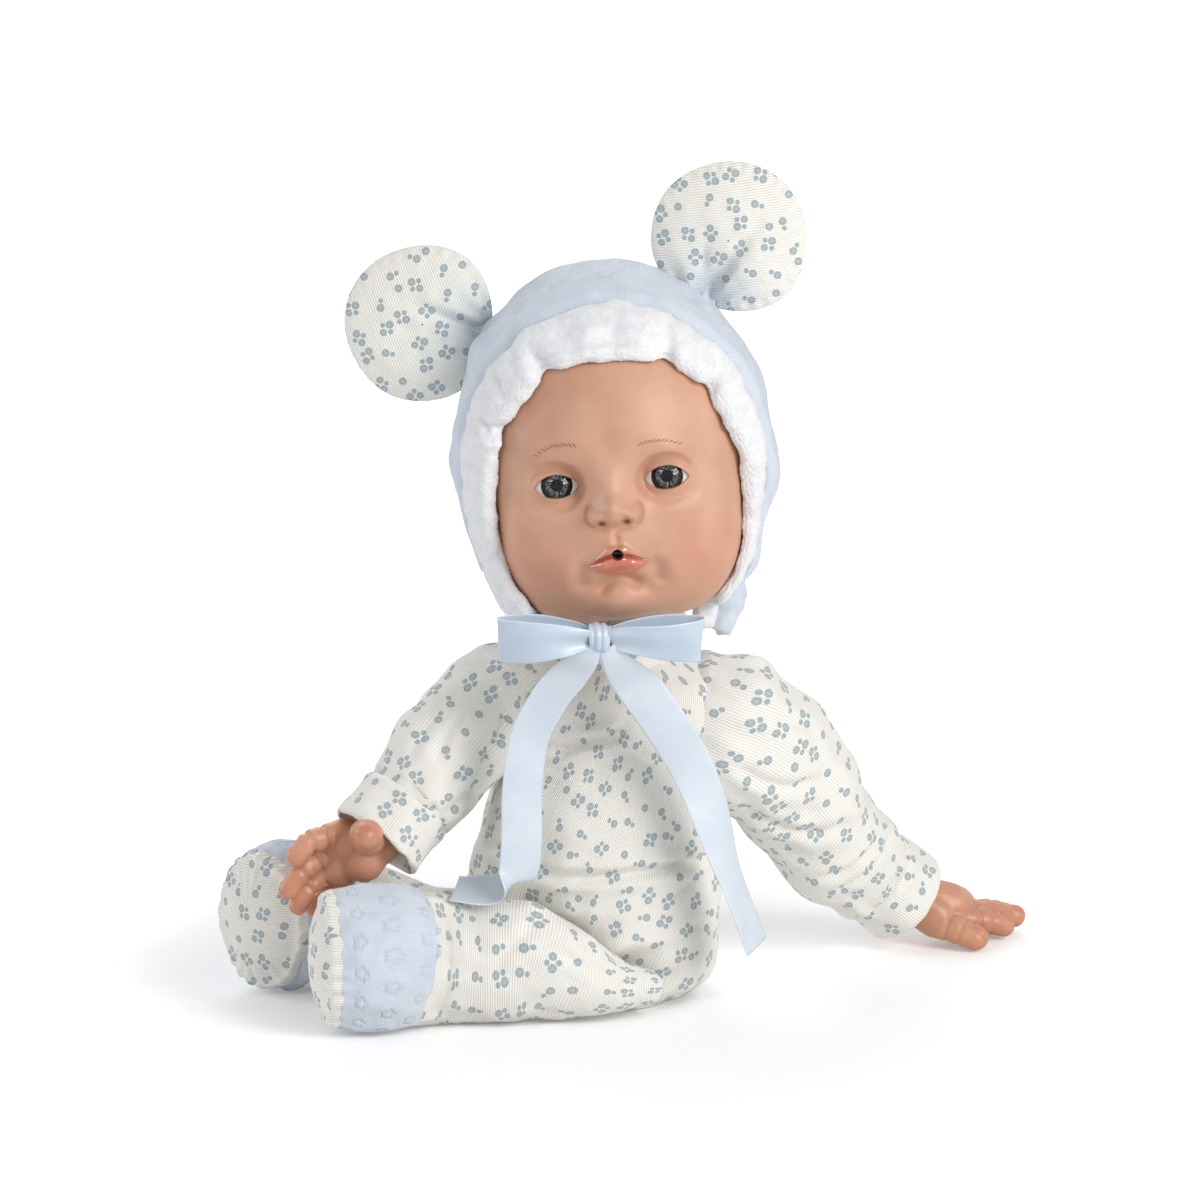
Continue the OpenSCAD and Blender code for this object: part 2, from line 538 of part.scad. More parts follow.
// Share of its radius that an ear loses where it is gathered on to the bonnet
ear_flat = 0.12;
ear_gap = 2.6;
function ear_outline(n) = [for (i = [0:n - 1]) let (a = 360 * i / n, pinch = pow(max(0, -cos(a)), 6))
    [ear_r * cos(a) * (1 - ear_flat * pinch), ear_r * sin(a) * (1 - 0.35 * pinch)]];
function ear_ring(ear, scale, depth, n) = let (root = unit(ear[0]), out = unit(ear[1]),
    side = cross(out, [0, -1, 0]),
    c = root * (head_r(root) + bonnet_h + ear_gap) + out * ear_r * (1 - ear_flat))
    [for (p = ear_outline(n)) c + out * p[0] * scale + side * p[1] * scale + [0, -1, 0] * depth];
// Rings over a half lens between two surfaces; face is 1 in front and -1 behind
function lens(ear, h, inset, n, face) = [for (k = [0:3]) let (q = [0.12, 0.5, 0.82, 1][k])
    ear_ring(ear, q * (1 - inset / ear_r),
        face * (0.3 + (h - inset - 0.3) * sqrt(max(0, 1 - q * q * 0.98))), n)];
panel_t = 1.2;
module ear_panel(face) in_head() for (ear = EARS) let (outer = lens(ear, ear_ht, 0, 24, face),
    inner = lens(ear, ear_ht - panel_t, panel_t, 24, face))
    skin(face > 0 ? concat(outer, flip(inner)) : concat(inner, flip(outer)));
module ear_fronts() color("ivory") ear_panel(1);
module ear_backs() color("lightblue") ear_panel(-1);
module ear_wadding() color("white") in_head() for (ear = EARS)
    skin(concat(lens(ear, ear_ht - panel_t - 0.2, panel_t + 0.2, 24, 1),
        flip(lens(ear, ear_ht - panel_t - 0.2, panel_t + 0.2, 24, -1))));

STRAPS = [[[31, -26, 148.2, 0, 0.2, 1], [21, -40.5, 145, 0, 0.1, 1], [10, -50.5, 146, 0, 0, 1],
    [2.5, -54.9, 147.5, 0, 0, 1]], [[-25.5, -28.5, 148.3, 0, 0.2, 1], [-18, -40.5, 144.8, 0, 0.1, 1],
    [-9, -50.5, 146, 0, 0, 1], [-2.5, -54.9, 147.5, 0, 0, 1]]];
module chin_straps() color("lightblue") for (path = STRAPS) tape(path, 7);

// ---- arms ----
arm_n = 20;
// Angles of the rings over a round end, from near its tip
START = [12, 34, 56, 78];
START_RIM = [12, 38, 64, 90];
function first_heading(arm) = unit(spot(arm[1]) - spot(arm[0]));
function arm_rings(arm, grow) = let (fine = resample(arm, 3), t = first_heading(arm), s = fine[0])
    concat(cap_rings(s, -t, s[3], grow, arm_n, START, t), tube(fine, grow, arm_n));
module sleeve(arm) color("ivory") skin(concat(arm_rings(arm, 0), flip(arm_rings(arm, -cloth_t))));
module aim(at, t) translate(at) rotate([0, acos(t[2]), atan2(t[1], t[0])]) children();
stem_l = 7;
module arm_filling(arm) color("white") let (t = cuff_way(arm)) difference() {
    skin(arm_rings(arm, -cloth_t - fill_gap), swap = true);
    aim(cuff_start(arm) - t * stem_l, t) cylinder(r = wrist_r + 3, h = 20);
}
module sleeve_left() sleeve(ARM_L);
module sleeve_right() sleeve(ARM_R);
module arm_filling_left() arm_filling(ARM_L);
module arm_filling_right() arm_filling(ARM_R);
// A turned cuff begins this far past the end of its sleeve
cuff_gap = 1.2;
module cuff(arm) color("ivory") let (t = cuff_way(arm))
    aim(cuff_start(arm) + cuff_gap * t, t) rotate_extrude()
    polygon([[cuff_r - cloth_t, 0], [cuff_r + 0.6, 0], [cuff_r, cuff_l], [cuff_r - 2 * cloth_t, cuff_l]]);
module cuff_left() cuff(ARM_L);
module cuff_right() cuff(ARM_R);
collar_l = 5;
module wrist_collar(arm) color("gray") let (t = cuff_way(arm))
    aim(cuff_start(arm) + (cuff_gap + 0.2) * t, t) difference() {
    cylinder(r = cuff_r - cloth_t * 1.5 - 0.3, h = collar_l);
    translate([0, 0, -1]) cylinder(r = wrist_r + 0.08, h = collar_l + 2);
}
module wrist_collar_left() wrist_collar(ARM_L);
module wrist_collar_right() wrist_collar(ARM_R);

// A hand: a stem and flange in the wrist, a palm through four points and digits of three points each
module blob(p) translate(spot(p)) sphere(r = p[3], $fn = 10);
module hand(arm, palm, digits) color("peru") let (t = cuff_way(arm)) union() {
    aim(cuff_start(arm) + t * (cuff_gap - 4.5), t) cylinder(r = wrist_r + 2.2, h = 4.4);
    aim(cuff_start(arm) + t * (cuff_gap - 1), t) cylinder(r = wrist_r, h = cuff_l - 1);
    hull() for (p = palm) blob(p);
    for (d = digits, k = [0:len(d) - 2]) hull() {
        blob(d[k]);
        blob(d[k + 1]);
    }
}
function tip(arm) = cuff_start(arm) + cuff_way(arm) * (cuff_l + cuff_gap);
PALM_R = [[each tip(ARM_R), 8.5], [-95, -36, 67, 7], [-95, -34, 55, 7.5], [-87, -38, 59, 8]];
DIGITS_R = [[[-85, -39, 67, 5.2], [-87, -48, 70, 4.8], [-87, -53, 72, 4.4]],
    [[-97, -37, 69, 4.8], [-105, -40, 66, 4.3], [-111, -42, 59, 3.8]],
    [[-98, -35, 62, 4.8], [-108, -38, 56, 4.3], [-114, -40, 49, 3.8]],
    [[-97, -33, 56, 4.6], [-107, -36, 49, 4.2], [-112, -38.5, 42.5, 3.5]],
    [[-95, -31, 52, 4.2], [-102, -33, 45, 3.7], [-106, -35, 40.5, 3.2]]];
PALM_L = [[each tip(ARM_L), 8], [131, 71, 11, 7], [124, 61, 10, 7], [130, 66, 10, 7.5]];
DIGITS_L = [[[124, 59, 9.5, 5.5], [133, 55, 7.5, 4.8], [140, 53, 5, 4.4]],
    [[133, 63, 9, 4.8], [143, 66, 8, 4.4], [151, 69, 5.5, 4]],
    [[134, 69, 9.5, 4.8], [145, 73, 9, 4.4], [155, 76, 7, 4]],
    [[134, 75, 9, 4.6], [144, 80, 8, 4.2], [152, 84, 6, 3.8]],
    [[131, 79, 8, 4.2], [138, 85, 7, 3.8], [144, 90, 5, 3.4]]];
module hand_left() hand(ARM_L, PALM_L, DIGITS_L);
module hand_right() hand(ARM_R, PALM_R, DIGITS_R);

// ---- legs: a print tube from the hip, a velour band round the foot and a domed sole ----
leg_n = 20;
function leg_path(leg, foot) = resample(concat(leg, foot), 2);
function ankle(leg) = 2 * len(leg);
function part_of(list, low, high) = [for (k = [low:high]) list[k]];
function hip_rings(leg, foot, grow) = let (fine = leg_path(leg, foot), t = heading(fine, 0))
    concat(cap_rings(fine[0], -t, fine[0][3], grow, leg_n, START, t),
        part_of(tube(fine, grow, leg_n), 0, ankle(leg)));
function foot_rings(leg, foot, grow) = let (all = tube(leg_path(leg, foot), grow, leg_n))
    part_of(all, ankle(leg), len(all) - 1);
function sole_rings(leg, foot, grow, angles, way) = let (fine = leg_path(leg, foot), k = len(fine) - 1,
    t = heading(fine, k)) cap_rings(fine[k], t, sole_l, grow, leg_n, angles, way * t);
module leg_skin(leg, foot) color("ivory")
    skin(concat(hip_rings(leg, foot, 0), flip(hip_rings(leg, foot, -cloth_t))));
module foot_band(leg, foot) color("lightblue")
    skin(concat(foot_rings(leg, foot, 0), flip(foot_rings(leg, foot, -cloth_t))), loop = true);
module foot_sole(leg, foot) color("ivory") skin(concat(sole_rings(leg, foot, 0, START_RIM, -1),
    flip(sole_rings(leg, foot, -cloth_t, START_RIM, -1))));
module leg_filling(leg, foot) color("white") let (g = -cloth_t - fill_gap, feet = foot_rings(leg, foot, g))
    skin(concat(hip_rings(leg, foot, g), part_of(feet, 1, len(feet) - 1),
        sole_rings(leg, foot, g, flip(part_of(START_RIM, 0, 2)), 1)), swap = true);
module leg_left() leg_skin(LEG_L, FOOT_L);
module leg_right() leg_skin(LEG_R, FOOT_R);
module leg_filling_left() leg_filling(LEG_L, FOOT_L);
module leg_filling_right() leg_filling(LEG_R, FOOT_R);
module foot_band_left() foot_band(LEG_L, FOOT_L);
module foot_band_right() foot_band(LEG_R, FOOT_R);
module foot_sole_left() foot_sole(LEG_L, FOOT_L);
module foot_sole_right() foot_sole(LEG_R, FOOT_R);

seat_gusset();
romper_torso();
torso_filling();
pellet_bag();
neck_collar();
neck_tie();
neck_socket();
back_flap();
closure_strips();
case_front();
case_back();
battery_door();
module_screws();
circuit_board();
speaker();
battery_tray();
batteries();
battery_contacts();
body_lead();
power_slider();
ribbon_tail_left();
ribbon_tail_right();
neck_swivel();
nod_pin();
bow_knot();
bow_loops();
head_shell();
neck_plate();
eyeballs();
irises();
corneas();
mouth_cup();
mouth_switch();
head_lead();
mouth_plunger();
bonnet_lining();
bonnet_shell();
bonnet_brim();
ear_fronts();
ear_backs();
ear_wadding();
chin_straps();
sleeve_left();
sleeve_right();
arm_filling_left();
arm_filling_right();
cuff_left();
cuff_right();
wrist_collar_left();
wrist_collar_right();
hand_left();
hand_right();
leg_left();
leg_right();
leg_filling_left();
leg_filling_right();
foot_band_left();
foot_band_right();
foot_sole_left();
foot_sole_right();
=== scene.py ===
"""Looks of a seated soft-bodied baby doll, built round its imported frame. Lengths in tables are in mm."""

import math

import bpy
import numpy as np
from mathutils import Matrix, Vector
from mathutils.bvhtree import BVHTree


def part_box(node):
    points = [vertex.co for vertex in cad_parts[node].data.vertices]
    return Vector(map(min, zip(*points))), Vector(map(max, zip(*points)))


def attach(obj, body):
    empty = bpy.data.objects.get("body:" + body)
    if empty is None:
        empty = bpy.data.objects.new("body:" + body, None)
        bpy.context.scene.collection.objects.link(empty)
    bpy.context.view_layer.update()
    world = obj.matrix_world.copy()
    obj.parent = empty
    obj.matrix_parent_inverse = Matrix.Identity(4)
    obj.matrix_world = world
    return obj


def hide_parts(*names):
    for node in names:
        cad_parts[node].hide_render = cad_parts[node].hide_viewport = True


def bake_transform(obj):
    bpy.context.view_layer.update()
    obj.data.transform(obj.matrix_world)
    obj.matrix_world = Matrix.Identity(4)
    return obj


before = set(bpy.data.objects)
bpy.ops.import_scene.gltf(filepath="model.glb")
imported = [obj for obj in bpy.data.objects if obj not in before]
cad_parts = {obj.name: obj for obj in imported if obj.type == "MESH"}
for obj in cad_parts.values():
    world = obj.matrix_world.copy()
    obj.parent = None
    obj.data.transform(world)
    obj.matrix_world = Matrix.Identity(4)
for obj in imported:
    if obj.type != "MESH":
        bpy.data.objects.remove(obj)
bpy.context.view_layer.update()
MM = 0.001


# ---------------------------------------------------------------- shared maths
def unit(v):
    v = np.asarray(v, float)
    return v / np.maximum(np.linalg.norm(v, axis=-1, keepdims=True), 1e-9)


def ramp(x, low, high):
    """0 below low, 1 above high, smooth between."""
    t = np.clip((np.asarray(x, float) - low) / (high - low), 0, 1)
    return t * t * (3 - 2 * t)


def bell(x, at, width):
    """A smooth bump, 1 high, over x."""
    return np.exp(-(((x - at) / width) ** 2))


def circle(count):
    """Turns in radians, evenly round a circle."""
    return np.linspace(0, 2 * math.pi, count, endpoint=False)


def grid(*parts):
    """Arrays that fit one another, as one array with a last index over them."""
    return np.stack(np.broadcast_arrays(*parts), axis=-1)


def run_along(p, least=0.0):
    """How far along a path each of its rows lies."""
    return np.concatenate([[0], np.cumsum(np.linalg.norm(np.diff(p, axis=0), axis=1) + least)])


def curve(points, count):
    """Catmull-Rom through the rows of points, as count rows evenly spaced along it."""
    p = np.asarray(points, float)
    p = np.vstack([p[0], p, p[-1]])
    t = np.linspace(0, 1, 24, endpoint=False)[:, None]
    fine = []
    for a, b, c, d in zip(p, p[1:], p[2:], p[3:]):
        square, cube = 2 * a - 5 * b + 4 * c - d, 3 * b - a - 3 * c + d
        fine.append(0.5 * (2 * b + (c - a) * t + square * t**2 + cube * t**3))
    fine = np.vstack([*fine, p[-2]])
    run = run_along(fine[:, :3])
    want = np.linspace(0, run[-1], count)
    return np.stack([np.interp(want, run, column) for column in fine.T], axis=1)


def profile_curve(profile, count):
    """The two columns of a smooth line through pairs of numbers."""
    return curve([(a, b, 0) for a, b in profile], count)[:, :2].T


def ripple(p, size, seed):
    """A smooth random field of about -1 to 1 over points, whose bumps are size across."""
    rng = np.random.default_rng(seed)
    count = 9
    k = unit(rng.normal(size=(count, 3))) * (2 * math.pi / size) * rng.uniform(0.7, 1.35, (count, 1))
    phase = rng.uniform(0, 2 * math.pi, count)
    return np.sin(np.asarray(p) @ k.T + phase).sum(-1) / math.sqrt(count * 0.9)


def lumps(p, *fields):
    """Sum of random fields over points, each given as height in mm, size and seed."""
    return sum(height * ripple(p, size, seed) for height, size, seed in fields)


def line_distance(p, line):
    """Distance from points to a polyline, and how far along it the nearest place is, from 0 to 1."""
    best, along = np.full(len(p), 1e9), np.zeros(len(p))
    line = np.asarray(line, float)
    run = run_along(line)
    for a, b, start, stop in zip(line, line[1:], run, run[1:]):
        t = np.clip((p - a) @ (b - a) / (stop - start) ** 2, 0, 1)
        d = np.linalg.norm(p - (a + t[:, None] * (b - a)), axis=1)
        closer = d < best
        best[closer] = d[closer]
        along[closer] = ((start + t * (stop - start)) / run[-1])[closer]
    return best, along


def creases(grid_points, lines):
    """Sum of soft folds, in mm: each line is (points, depth, width), a valley between two low ridges."""
    p = grid_points.reshape(-1, 3)
    out = np.zeros(len(p))
    for points, depth, width in lines:
        laid = [p[((p - at) ** 2).sum(1).argmin()] for at in curve(points, 9)]
        d, t = line_distance(p, curve(laid, 18))
        fade = ramp(t, 0, 0.22) * ramp(1 - t, 0, 0.22)
        out += depth * fade * (0.45 * bell(d, 2.1 * width, 1.3 * width) - bell(d, 0, width))
    return out.reshape(grid_points.shape[:-1])


def gathers(run, around, at, reach, depth, waves, seed):
    """Small pleats that run along a tube from a seam at a given distance, as mm over its grid."""
    rng = np.random.default_rng(seed)
    shape = 0
    for k in range(3):
        shape = shape + np.sin(circle(around) * (waves + k * 3 - 3) + rng.uniform(0, 6.28)) / (1.0 + 0.6 * k)
    fade = np.exp(-np.abs(run - at) / reach)
    return depth * fade[:, None] * shape / 1.6


def outward(p, centre):
    """Unit normals over a grid of points that goes round in its second index, turned away from centre."""
    down = np.gradient(p, axis=0)
    over = (np.roll(p, -1, axis=1) - np.roll(p, 1, axis=1)) / 2
    n = unit(np.cross(over, down))
    return n if (n * (p - centre)).sum() > 0 else -n


def raised(p, lift, centre=None):
    """A grid of points moved by lift, in mm, along normals that face away from centre or the row's middle."""
    centre = p.mean(1, keepdims=True) if centre is None else centre
    return p + outward(p, centre) * lift[..., None]


# ---------------------------------------------------------------- meshes
def grid_faces(m, n, wrap, ends=False):
    """Quads over a grid of m by n vertices; ends closes a wrapped one with a fan on a further vertex each."""
    faces = []
    for k in range(m - 1):
        for i in range(n if wrap else n - 1):
            j = (i + 1) % n
            faces.append((k * n + i, k * n + j, (k + 1) * n + j, (k + 1) * n + i))
    if ends:
        first, last = m * n, m * n + 1
        for i in range(n):
            j = (i + 1) % n
            faces.append((first, j, i))
            faces.append((last, (m - 1) * n + i, (m - 1) * n + j))
    return faces


def mesh_object(name, verts, faces, uv=None, tube=None):
    """A mesh object from points in mm, faces, and one uv per vertex in mm. The tube is the rows and columns
    of a grid whose uv goes on past the seam, where it would run backwards over the last column."""
    mesh = bpy.data.meshes.new(name)
    mesh.from_pydata((np.asarray(verts) * MM).tolist(), [], faces)
    if uv is not None:
        loops = np.zeros(len(mesh.loops), int)
        mesh.loops.foreach_get("vertex_index", loops)
        values = np.asarray(uv, float)[loops]
        if tube:
            m, n = tube
            quads = 4 * (m - 1) * n
            columns = (loops[:quads] % n).reshape(-1, 4)
            seam = (columns.max(1) == n - 1) & (columns.min(1) == 0)
            past = ((columns == 0) & seam[:, None]).ravel()
            values[:quads, 0] += past * (uv[1, 0] - uv[0, 0]) * n
        mesh.uv_layers.new(name="cloth").data.foreach_set("uv", values.astype(np.float32).ravel())
    mesh.shade_smooth()
    mesh.update()
    obj = bpy.data.objects.new(name, mesh)
    bpy.context.scene.collection.objects.link(obj)
    return obj


def skin(name, p, uv=None, wrap=True, ends=False, seam=True):
    """A mesh over a grid of points p[k, i] in mm, with a uv per point; seam is false where the uv is flat."""
    m, n = p.shape[:2]
    verts = p.reshape(-1, 3)
    uv = None if uv is None else uv.reshape(-1, 2)
    if ends:
        verts = np.vstack([verts, p[0].mean(0), p[-1].mean(0)])
        uv = None if uv is None else np.vstack([uv, uv[:n].mean(0), uv[-n:].mean(0)])
    return mesh_object(name, verts, grid_faces(m, n, wrap, ends), uv, (m, n) if wrap and seam else None)


def paint(obj, name, values):
    """A point attribute that a material reads by name: one number or one colour per vertex."""
    values = np.asarray(values, np.float32)
    if values.ndim == 1:
        obj.data.attributes.new(name, "FLOAT", "POINT").data.foreach_set("value", values)
    else:
        rgba = np.concatenate([values, np.ones((len(values), 1), np.float32)], axis=1)
        obj.data.attributes.new(name, "FLOAT_COLOR", "POINT").data.foreach_set("color", rgba.ravel())


def applied(obj):
    """Turns the object's modifiers into its mesh."""
    graph = bpy.context.evaluated_depsgraph_get()
    mesh = bpy.data.meshes.new_from_object(obj.evaluated_get(graph))
    obj.modifiers.clear()
    obj.data = mesh
    return obj


def thickened(obj, thickness, offset=-1.0):
    """Gives a sheet its thickness in mm."""
    mod = obj.modifiers.new("thickness", "SOLIDIFY")
    mod.thickness, mod.offset = thickness * MM, offset
    return applied(obj)


def vertex_rows(obj, what):
    """One row of three numbers for each vertex: its place co or its normal."""
    rows = np.zeros(len(obj.data.vertices) * 3)
    obj.data.vertices.foreach_get(what, rows)
    return rows.reshape(-1, 3)


def move_points(obj, p):
    obj.data.vertices.foreach_set("co", (p * MM).ravel())
    obj.data.update()


def surface_of(node):
    """The surface of a CAD node in mm, to cast rays at."""
    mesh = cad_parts[node].data
    return BVHTree.FromPolygons([v.co / MM for v in mesh.vertices], [f.vertices for f in mesh.polygons])


def dress(obj, material, body, slot, *nodes):
    """Gives a finished piece its material and its body, and hides the CAD nodes it stands for; its slot is
    not used.
    """
    obj.data.materials.clear()
    obj.data.materials.append(material)
    obj.data.shade_smooth()
    if body:
        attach(obj, body)
    if nodes:
        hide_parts(*nodes)


# ---------------------------------------------------------------- materials
class Nodes:
    """A node tree whose nodes are written as sums."""

    def __init__(self, tree):
        self.tree = tree

    def node(self, kind, inputs=(), **settings):
        made = self.tree.nodes.new("ShaderNode" + kind)
        for key, value in settings.items():
            setattr(made, key, value)
        for key, value in dict(inputs).items():
            self.join(value, made.inputs[key])
        return made

    def join(self, value, socket):
        if isinstance(value, bpy.types.NodeSocket):
            self.tree.links.new(value, socket)
        else:
            socket.default_value = value

    def math(self, operation, a, b=0.0, c=0.0):
        return self.node("Math", {0: a, 1: b, 2: c}, operation=operation).outputs[0]

    def plus(self, a, b):
        return self.math("ADD", a, b)

    def times(self, a, b):
        return self.math("MULTIPLY", a, b)

    def line(self, a, slope, start):
        return self.math("MULTIPLY_ADD", a, slope, start)

    def wave(self, x, pitch):
        return self.math("SINE", self.times(x, 2 * math.pi / pitch))

    def vector(self, operation, a, b=(0, 0, 0)):
        made = self.node("VectorMath", {0: a, 1: b}, operation=operation)
        return made.outputs["Value" if operation in ("LENGTH", "DISTANCE") else "Vector"]

    def scale(self, a, factor):
        return self.node("VectorMath", {0: a, "Scale": factor}, operation="SCALE").outputs[0]

    def turned(self, v, angle):
        return self.node("VectorRotate", {"Vector": v, "Angle": angle}, rotation_type="Z_AXIS").outputs[0]

    def parts(self, v):
        return self.node("SeparateXYZ", {0: v}).outputs

    def combine(self, x, y, z=0.0):
        return self.node("CombineXYZ", {0: x, 1: y, 2: z}).outputs[0]

    def step(self, x, low, high, out_low=0.0, out_high=1.0):
        inputs = {0: x, 1: low, 2: high, 3: out_low, 4: out_high}
        return self.node("MapRange", inputs, interpolation_type="SMOOTHSTEP").outputs[0]

    def mix(self, factor, a, b, blend="MIX"):
        return self.node("Mix", {0: factor, 6: a, 7: b}, data_type="RGBA", blend_type=blend).outputs[2]

    def noise(self, vector, scale, detail=2.0, rough=0.5):
        inputs = {"Vector": vector, "Scale": scale, "Detail": detail, "Roughness": rough}
        return self.node("TexNoise", inputs).outputs[0]

    def chance(self, cell):
        """Random numbers that belong to a cell."""
        return self.node("TexWhiteNoise", {"Vector": cell}).outputs


class Paint(Nodes):
    """A Principled material."""

    def __init__(self, name, roughness, **sockets):
        self.material = bpy.data.materials.new(name)
        self.material.use_nodes = True
        super().__init__(self.material.node_tree)
        self.shader = self.tree.nodes["Principled BSDF"]
        self.set(Roughness=roughness, **sockets)

    def set(self, **sockets):
        """Joins or sets the shader's sockets, named with _ for a space."""
        for key, value in sockets.items():
            self.join(value, self.shader.inputs[key.replace("_", " ")])
        return self.material

    def where(self):
        """Points in mm in the piece's own space."""
        return self.scale(self.node("TexCoord").outputs["Object"], 1 / MM)

    def cloth(self):
        """The sheet's own coordinates, in mm along its width and length."""
        return self.node("UVMap", uv_map="cloth").outputs[0]

    def painted(self, name):
        """A painted number; the node's first output is the painted colour."""
        return self.node("Attribute", attribute_name=name).outputs[2]

    def bump(self, height, strength, distance):
        inputs = {"Height": height, "Strength": strength, "Distance": distance * MM}
        return self.node("Bump", inputs).outputs[0]


def rgb(r, g, b):
    """An sRGB colour of 0 to 255 as the linear colour that a shader takes."""
    c = np.array([r, g, b]) / 255
    lin = np.where(c <= 0.04045, c / 12.92, ((c + 0.055) / 1.055) ** 2.4)
    return (*[float(v) for v in lin], 1.0)


# Where the spots of a cluster lie from its middle, their radii, and the chance above which each is left out
CLUSTER = (((-1.9, 0.2, 0), 1.42, 1.0), ((1.9, -0.1, 0), 1.3, 0.46), ((0.1, 1.95, 0), 0.85, 0.84),
           ((-0.2, -1.9, 0), 0.9, 0.46))
SPOT_CELL = 9.4


def spots(m, uv, seed):
    """How much of a scatter of spots covers a point, and its distance from their edges. Each cell of the
    cloth has a cluster, a pair or a single spot."""
    scaled = m.scale(uv, 1 / SPOT_CELL)
    cell = m.vector("FLOOR", scaled)
    place = m.parts(m.chance(m.vector("ADD", cell, (seed, seed, 0.5)))["Color"])
    local = m.vector("SUBTRACT", m.vector("SUBTRACT", scaled, cell), (0.5, 0.5, 0))
    shift = m.combine(m.line(place[0], 0.34, -0.17), m.line(place[1], 0.34, -0.17))
    local = m.scale(m.vector("SUBTRACT", local, shift), SPOT_CELL)
    xyz = m.parts(m.turned(local, m.times(place[2], 6.28)))
    flat = m.combine(xyz[0], xyz[1])
    kind = m.chance(m.vector("ADD", cell, (seed + 7.3, 2.2, 0.1)))["Value"]
    edge = 100.0
    for centre, radius, most in CLUSTER:
        gone = m.times(m.math("GREATER_THAN", kind, most), 20.0)
        away = m.plus(m.vector("DISTANCE", flat, centre), m.math("SUBTRACT", gone, radius))
        edge = m.math("MINIMUM", edge, away)
    return m.step(edge, 0.22, -0.12), edge


def print_cloth(name, seed, turn):
    """Cream ribbed jersey with a scatter of grey-blue spots, painted shade in the hollows between its ribs,
    and a painted bluish shade where a piece carries one.
    """
    m = Paint(name, 0.86, Sheen_Weight=0.25, Sheen_Roughness=0.5, Specular_IOR_Level=0.25)
    uv = m.turned(m.cloth(), turn) if turn else m.cloth()
    xy = m.parts(uv)
    wobble = m.times(m.noise(m.where(), 0.16, 1), 0.35)
    rib = m.line(m.wave(m.plus(xy[0], wobble), 0.95), 0.5, 0.5)
    stitch = m.line(m.wave(xy[1], 0.55), 0.5, 0.5)
    fuzz = m.noise(m.where(), 2.4, 3)
    spot, edge = spots(m, uv, seed)
    ink = m.times(spot, m.step(m.plus(m.times(rib, 0.9), fuzz), 0.35, 0.85, 0.55, 1.0))
    ink = m.times(ink, m.step(edge, -1.0, -0.45, 0.78, 1.0))
    # Painted shade: the ground is darker in the rib's hollows than on its tops.
    ground = m.mix(m.step(rib, 0.0, 0.7), rgb(228, 224, 215), rgb(247, 245, 238))
    ground = m.mix(m.times(fuzz, 0.18), ground, rgb(232, 230, 224))
    colour = m.mix(m.times(ink, 0.92), ground, rgb(148, 167, 176))
    # Painted shade: a bluish darkening where a piece paints the shade attribute, which the ear fronts do near
    # their root.
    colour = m.mix(m.painted("shade"), colour, rgb(214, 226, 243), "MULTIPLY")
    height = m.plus(m.times(rib, 0.75), m.times(m.plus(stitch, fuzz), 0.14))
    return m.set(Base_Color=colour, Normal=m.bump(height, 0.62, 0.35))


def blue_knit(name, sheen):
    """Pale blue jersey: fine columns of stitches with a soft nap; painted shade in their hollows and in
    pressed stars.
    """
    m = Paint(name, 0.92, Sheen_Weight=sheen, Sheen_Roughness=0.45, Specular_IOR_Level=0.2)
    xy = m.parts(m.cloth())
    fuzz = m.noise(m.where(), 1.9, 4, 0.6)
    big = m.noise(m.where(), 0.11, 2)
    column = m.wave(m.plus(xy[0], m.times(fuzz, 0.25)), 0.8)
    slant = m.wave(m.plus(xy[1], m.times(m.math("ABSOLUTE", column), 0.3)), 0.62)
    height = m.plus(m.line(column, 0.28, 0.5), m.line(slant, 0.16, m.times(fuzz, 0.5)))
    # Painted shade: the tone follows the stitches' height, darker in their hollows, mixed with a tone that
    # varies at random.
    tone = m.plus(m.times(height, 0.5), m.times(big, 0.5))
    colour = m.mix(m.step(tone, 0.25, 0.95), rgb(197, 207, 222), rgb(220, 227, 236))
    # Painted shade in the sunk lines of the pressed stars.
    colour = m.mix(m.times(m.painted("pressed"), 0.3), colour, rgb(178, 191, 212))
    return m.set(Base_Color=colour, Normal=m.bump(height, 0.5, 0.3))


def plush(name):
    """White short-pile velour."""
    m = Paint(name, 0.95, Sheen_Weight=0.8, Sheen_Roughness=0.4, Specular_IOR_Level=0.15)
    where = m.where()
    pile = m.plus(m.noise(where, 1.5, 4, 0.65), m.times(m.noise(where, 0.35, 2), 0.6))
    colour = m.mix(m.step(pile, 0.45, 1.1), rgb(226, 227, 231), rgb(243, 243, 244))
    return m.set(Base_Color=colour, Normal=m.bump(pile, 0.55, 0.5))


def satin(name, deep, light):
    """Light blue satin ribbon: fine cross threads, a gloss across them and a woven edge."""
    m = Paint(name, 0.3, Sheen_Weight=0.1, Anisotropic=0.6, Specular_IOR_Level=0.9)
    m.set(Coat_Weight=0.15, Coat_Roughness=0.35)
    xy = m.parts(m.cloth())
    thread, weft = m.wave(xy[1], 0.42), m.wave(xy[0], 0.3)
    colour = m.mix(m.step(m.noise(m.where(), 0.05, 2), 0.3, 0.7), deep, light)
    woven = m.times(m.painted("edge"), m.step(thread, -0.4, 0.5, 0.35, 0.9))
    colour = m.mix(woven, colour, rgb(228, 237, 245))
    height = m.plus(m.times(thread, 0.3), m.times(weft, 0.15))
    rough = m.line(m.noise(m.where(), 0.4, 2), 0.1, 0.25)
    return m.set(Base_Color=colour, Normal=m.bump(height, 0.06, 0.1), Roughness=rough)


